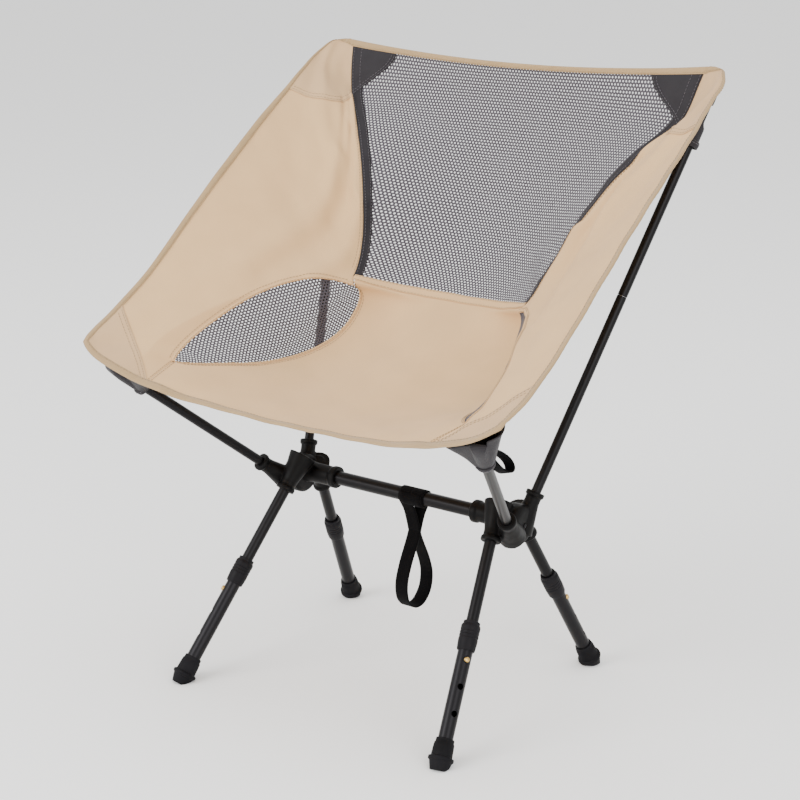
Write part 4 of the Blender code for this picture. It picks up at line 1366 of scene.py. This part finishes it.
def hub_parts(sign):
    """(profile, matrix) of each solid part and of each bore."""
    centre, axis = bar_axis(sign, DISC_PLACE), bar_axis(sign, BAR_PLACE)
    inner, outer, near = DISC_INNER_X, DISC_OUTER_X, BARREL_MOUTH_X
    disc = [
        (0.0, inner), (0.0192, inner), (0.0222, inner + 0.0024), (0.0225, inner + 0.004),
        (0.0225, outer - 0.005), (0.0216, outer - 0.0028), (0.0196, outer - 0.0012),
        (0.0160, outer - 0.0002), (0.0, outer),
    ]
    barrel = [
        (0.0, near), (0.0124, near), (0.0128, near + 0.0006), (0.0128, near + 0.0064),
        (0.0122, near + 0.0076), (0.0114, near + 0.0080), (0.0116, inner - 0.012),
        (0.0136, inner + 0.004), (0.0, inner + 0.004),
    ]
    solid = [(disc, centre), (barrel, axis)]
    bores = [
        (rod_profile(BAR_RADIUS + BORE_SLACK, near - 0.01, BAR_HALF_LENGTH + 0.0005), axis),
        (rod_profile(0.0033, outer - 0.0013, outer + 0.004), centre),
    ]
    for kind, (blind, mouth) in SOCKETS.items():
        matrix, _ = frame_line(kind, sign)
        row = kind.split("_")[1]
        radius = SOCKET_RADIUS[row]
        tube = (UPPER_RADIUS if row == "leg" else POLE_RADIUS) + BORE_SLACK
        start, ring = blind - 0.016, radius + RING_HEIGHT
        lip = mouth - RING_LENGTH
        socket = [
            (0.0, start), (radius + 0.0004, start), (radius, lip - 0.0010), (ring, lip),
            (ring, mouth - 0.0004), (ring - 0.0006, mouth), (0.0, mouth),
        ]
        web = lip - 0.003
        flare = [(0.0, start + 0.001), (radius + 0.0068, start + 0.001), (radius - 0.0010, web), (0.0, web)]
        solid += [(socket, matrix), (flare, matrix)]
        bores.append((rod_profile(tube, blind, mouth + 0.01), matrix))
    return solid, bores


def joined(parts):
    """Several turned parts as one mesh in the frame's own place."""
    work = bmesh.new()
    for profile, matrix in parts:
        mesh = turned_mesh("part", profile, 40)
        mesh.transform(matrix)
        work.from_mesh(mesh)
        bpy.data.meshes.remove(mesh)
    made = bpy.data.meshes.new("joined")
    work.to_mesh(made)
    work.free()
    return made


def hub(side, sign):
    """One hub as a single moulding, with its bores cut."""
    solid, bores = hub_parts(sign)
    body = temporary(joined(solid), Matrix.Identity(4))
    melt = body.modifiers.new("melt together", "REMESH")
    melt.mode = "VOXEL"
    melt.voxel_size = HUB_VOXEL
    soften = body.modifiers.new("fillets", "SMOOTH")
    soften.factor = 0.5
    soften.iterations = 5
    tools = [temporary(turned_mesh("bore", profile), matrix) for profile, matrix in bores]
    for tool in tools:
        cut(body, tool)
    mesh = finished_mesh(body, "moulded_hub_" + side)
    for spare in [body, *tools]:
        bpy.data.objects.remove(spare)
    piece = hard_piece("moulded_hub_" + side, mesh, Matrix.Identity(4), NYLON, "chair_frame")
    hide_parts("hub_" + side)
    return len(mesh.polygons)


def rivet_head(side, sign):
    """The round head in the middle of the hub's disc."""
    face = DISC_OUTER_X
    profile = [
        (0.0, face - 0.0011), (0.0028, face - 0.0011), (0.0029, face),
        (0.0024, face + 0.0008), (0.0012, face + 0.0012), (0.0, face + 0.0013),
    ]
    mesh = turned_mesh("rivet", profile, 24)
    head = hard_piece("hub_rivet_head_" + side, mesh, bar_axis(sign, DISC_PLACE), ANODISED,
                      "chair_frame")
    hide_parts("hub_rivet_" + side)


for side, sign in SIDES.items():
    print("hub", side, hub(side, sign), "faces")
    rivet_head(side, sign)

# %% [markdown]
# ## Corner pockets
#
# Under each corner a black cloth funnel takes the end of a pole. Its wide end
# follows the patch above it and its narrow end is a hemmed ring on the pole, so it
# is lofted: matching points on the two outlines are joined by rows, with soft
# pleats that are deepest halfway.

# %% Loft a pocket between the sling and its pole
POCKETS = {
    "front": {
        "places": [(0.95, 0.020), (0.80, 0.020), (0.72, 0.030), (0.93, 0.085), (0.95, 0.050)],
        "length": 0.047, "gape": 0.006,
    },
    "rear": {
        "places": [(0.66, 0.970), (0.50, 0.975), (0.46, 0.965), (0.46, 0.930), (0.50, 0.915), (0.62, 0.935)],
        "length": 0.072, "gape": 0.0,
    },
}
POCKET_POINTS = 64
POCKET_ROWS = 22
POCKET_DROP = 0.0030
# A front pocket hangs open along the front edge, and no more where the gape ends.
GAPE_END = 0.070
GAPE_RUN = 0.050
PLEATS = 5
PLEAT_DEPTH = 0.055
POCKET_EASE = 0.85
TIP_ROOM = 0.0084
RING_RADIUS = 0.0090
# The hem is the last few millimetres, turned back on itself and so a little thicker:
# how far it stands off the ring, and how far past the mouth.
HEM_SECTION = [(0.0009, 0.0), (0.0012, 0.0030), (0.0011, 0.0062), (0.0002, 0.0072)]
HEM_SEAM = 0.0045
HEM_SEAM_LIFT = 0.0016


def closed_curve(points, count):
    """Evenly spaced points on a smooth closed curve through a few points."""
    points = np.array(points, float)
    place = np.arange(count) * len(points) / count
    index, part = place.astype(int), (place % 1)[:, None]
    before, first, second, after = (points[(index + step) % len(points)] for step in (-1, 0, 1, 2))
    square = (2 * before - 5 * first + 4 * second - after) * part**2
    cube = (3 * first - before - 3 * second + after) * part**3
    return (2 * first + (second - before) * part + square + cube) / 2


def pocket_rows(local, turn, mouth):
    """The ring on the pole, and the rows that run to it from the patch and end in the hem."""
    ring = RING_RADIUS * np.column_stack([np.cos(turn), np.sin(turn)])
    rows = []
    for share in np.linspace(0, 1, POCKET_ROWS):
        ease = share ** POCKET_EASE
        pleats = 1 + PLEAT_DEPTH * math.sin(math.pi * share) * np.sin(PLEATS * turn + 2 * share)
        flat = (local[:, :2] * (1 - ease) + ring * ease) * pleats[:, None]
        away = np.linalg.norm(flat, axis=1, keepdims=True)
        flat = flat * np.maximum(1.0, TIP_ROOM / away)
        rows.append(np.column_stack([flat, local[:, 2] + (mouth - local[:, 2]) * share]))
    for wide_by, z in HEM_SECTION:
        rows.append(np.column_stack([ring * (1 + wide_by / RING_RADIUS), np.full(POCKET_POINTS, mouth + z)]))
    return ring, np.stack(rows)


def hem_stitches(name, ring, matrix, mouth):
    """A row of stitches round the pocket's hem."""
    hem = np.vstack([ring, ring[:1]]) * (1 + HEM_SEAM_LIFT / RING_RADIUS)
    seam = placed(np.column_stack([hem, np.full(len(hem), mouth + HEM_SEAM)]), matrix)
    outward = seam - np.array(matrix @ Vector((0, 0, mouth + HEM_SEAM)))
    return stitches(name, [beads_along(seam, outward)], BLACK_THREAD)


def pocket(end, side, sign):
    """One pocket: its cloth, its stitches and its rows of points."""
    places = closed_curve(POCKETS[end]["places"], POCKET_POINTS)
    gape = POCKETS[end]["gape"] * eased(np.clip((GAPE_END - places[:, 1]) / GAPE_RUN, 0, 1))
    wide = cloth_surface(sign * places[:, 0], places[:, 1], -POCKET_DROP - gape)
    matrix, length = frame_line(end + "_pole", sign)
    mouth = length - POCKETS[end]["length"]
    local = placed(wide, matrix.inverted())
    start = math.atan2(*(local[0, [1, 0]] - local[:, [1, 0]].mean(axis=0)))
    following = np.roll(local, -1, axis=0)
    area = (local[:, 0] * following[:, 1] - local[:, 1] * following[:, 0]).sum()
    turn = start + math.copysign(1.0, area) * math.tau * np.arange(POCKET_POINTS) / POCKET_POINTS
    ring, rows = pocket_rows(local, turn, mouth)
    points = placed(rows, matrix)
    name = "%s_%s_pocket" % (end, side)
    mesh = grid_mesh(name + "_cloth", points, closed_columns=True)
    piece = thickened(link_piece(name + "_cloth", mesh, BALLISTIC), 0.6)
    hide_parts(name)
    return piece, hem_stitches(name + "_stitches", ring, matrix, mouth), points


pockets = {}
for side, sign in SIDES.items():
    for end in POCKETS:
        pockets["%s_%s" % (end, side)] = pocket(end, side, sign)
print("pockets:", ", ".join(pockets))

# %% [markdown]
# ## Webbing
#
# Webbing bends only across its width, so a strap is a path and a width direction
# at each point of it. The strap under the seat is hitched round the crossbar in two
# turns, crosses at its neck and hangs as a teardrop. The pull tabs are short loops
# sewn to the front pockets.

# %% A strap along a path
def smooth_path(points, count):
    """Evenly spaced points on a smooth open curve through a few points."""
    points = np.array(points, float)
    dense = rail_points(points, np.linspace(0, 1, 40 * len(points)))
    length = run_lengths(dense)
    even = np.linspace(0, length[-1], count)
    return np.column_stack([np.interp(even, length, dense[:, i]) for i in range(3)]), length[-1]


def strap(name, path, width_direction, width, thickness_mm, body, closed=False, columns=7):
    """Webbing: rows of points across the path."""
    across = np.linspace(-0.5, 0.5, columns)
    direction = np.broadcast_to(width_direction, path.shape)
    points = path[:, None] + across[None, :, None] * width * direction[:, None]
    mesh = grid_mesh(name, points, closed_rows=closed)
    piece = link_piece(name, mesh, WEBBING, body)
    return thickened(piece, thickness_mm)


# %% Hanging strap
STRAP_X = 0.014
STRAP_WIDTH = 0.0165
TURN_RADIUS = 0.0093
TURN_OFFSET = 0.0077


def hitch_turn(offset, rear):
    """One turn round the bar, from below it, up and over, and back to below."""
    turn = np.radians(np.linspace(0, 300, 13)) * (1 if rear else -1) - math.pi / 2
    return [(offset, TURN_RADIUS * math.cos(t), TURN_RADIUS * math.sin(t)) for t in turn]


def hanging_loop():
    """The whole strap as one path: turn, neck, teardrop, neck, turn."""
    first = hitch_turn(-TURN_OFFSET, True)
    second = hitch_turn(TURN_OFFSET, False)[::-1]
    down = [(-0.0042, -0.0040, -0.016), (-0.0014, -0.0022, -0.029), (0.0, 0.0010, -0.044)]
    up = [(x * -1, y * -1, z) for x, y, z in down[::-1]]
    drop = [
        (0.0, 0.0080, -0.058), (0.0, 0.0175, -0.076), (0.0, 0.0245, -0.096), (0.0, 0.0225, -0.115),
        (0.0, 0.0120, -0.1275), (0.0, 0.0, -0.1308), (0.0, -0.0120, -0.1275), (0.0, -0.0225, -0.115),
        (0.0, -0.0245, -0.096), (0.0, -0.0175, -0.076), (0.0, -0.0080, -0.058),
    ]
    route = np.array(first + down + drop + up + second)
    return smooth_path(route + (STRAP_X, BAR.y, BAR.z), 260)


loop_path, loop_length = hanging_loop()
loop = strap("hanging_strap_webbing", loop_path, np.array([1.0, 0.0, 0.0]), STRAP_WIDTH, 1.3, "strap")
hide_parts("hanging_strap")
# The bight of the hitch lies across both turns in front of the bar.
bight_turn = np.radians(np.linspace(150, 300, 24))
bight = [(STRAP_X, BAR.y + 0.0107 * math.cos(t), BAR.z + 0.0107 * math.sin(t)) for t in bight_turn]
bight_band = strap("hanging_strap_bight", np.array(bight), np.array([1.0, 0.0, 0.0]), 0.0285, 1.1, "strap")
print("strap %.3f m long" % loop_length)

# %% Pull tabs
TAB_WIDTH = 0.012
TAB_REACH = 0.030
TAB_ROOTED = 0.0120
TAB_HALF_HEIGHT = 0.0095
TAB_POINTS = 48
# Where the right tab is sewn on, as a share of its pocket's length and a step beside
# the pole, and its three directions. The left tab mirrors them.
TAB_PLACE = 0.78
TAB_BESIDE = (0.001, 0.0120, 0.001)
TAB_FORWARD = (0.242, 0.732, -0.636)
TAB_ACROSS = (0.953, -0.063, 0.291)
TAB_UP = (-0.173, 0.676, 0.713)


def pull_tab(side, sign):
    """A short loop of webbing on the front pocket, and its length."""
    matrix, length = frame_line("front_pole", sign)
    mirror = np.array((sign, 1.0, 1.0))
    sewn = length - POCKETS["front"]["length"] * TAB_PLACE
    root = np.array(matrix @ Vector((0, 0, sewn))) + mirror * TAB_BESIDE
    turn = math.tau * np.arange(TAB_POINTS) / TAB_POINTS
    reach = TAB_REACH * (1 - np.cos(turn)) / 2 - TAB_ROOTED * (1 + np.cos(turn)) / 2
    rise = TAB_HALF_HEIGHT * np.sin(turn) * (0.62 + 0.38 * np.clip(reach / TAB_REACH, 0, 1))
    path = root + reach[:, None] * mirror * TAB_FORWARD + rise[:, None] * mirror * TAB_UP
    name = "pull_tab_webbing_" + side
    piece = strap(name, path, mirror * TAB_ACROSS, TAB_WIDTH, 1.2, "chair_frame", closed=True)
    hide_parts("pull_tab_" + side)
    around = np.linalg.norm(np.diff(path, axis=0, append=path[:1]), axis=1).sum()
    return piece, float(around)


tabs = {side: pull_tab(side, sign) for side, sign in SIDES.items()}
print("pull tabs %.3f m round" % tabs["left"][1])

# %% [markdown]
# ## Pieces kept from the frame
#
# The pole tips, cords and ferrules are already the right shape. They sit
# inside the tubes and pockets, and only need their real materials.

# %% Finishes on the frame's own pieces
KEPT = {"pole_tip": NYLON, "shock_cord": CORD, "pole_ferrule": STEEL}
kept = 0
for name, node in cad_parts.items():
    for ending, finish in KEPT.items():
        if name.endswith(ending):
            node.material_slots[0].material = finish
            kept += 1
print("kept pieces:", kept)

# %% [markdown]
# ## What each cloth was cut from
#
# The last step measures the cuts of the seat, a wing, the back net, a window and the
# pockets, and prints the seat's and the wing's box and area. The cut's box is measured
# along the longest row and column of each sheet.

def cut_box(points):
    """The longest row and column of a grid of points, in metres."""
    rows = np.linalg.norm(np.diff(points, axis=1), axis=2).sum(axis=1).max()
    columns = np.linalg.norm(np.diff(points, axis=0), axis=2).sum(axis=0).max()
    return float(rows), float(columns)


def rounded(width, length):
    """A cut's box to the nearest millimetre."""
    return round(width, 3), round(length, 3)


def cut_facts(points):
    """The box and the area of a cut. A cut can't be larger than its box."""
    width, length = cut_box(points)
    return {"flat": rounded(width, length), "area": min(flat_area(points), width * length * 0.999)}


# A net has holes and a pocket has curved sides; only their boxes are measured.
facts = cut_facts(seat_points)
print("seat cut", facts)
facts = cut_facts(wings["right"][1])
print("wing cut", facts)
back_points = cloth_surface(
    between(np.full(60, -SEAM), np.full(60, SEAM), 60), spread(np.linspace(SEAM, NET_TOP, 60), 60))
width, length = cut_box(back_points)
window_points = cloth_surface(between(window_low, window_high, 20), spread(window_rows, 20))
width, length = cut_box(window_points)
for name, (piece, thread, points) in pockets.items():
    width, length = cut_box(points)
    width = max(width, float(np.linalg.norm(np.diff(points[0], axis=0, append=points[0][:1]), axis=1).sum()))
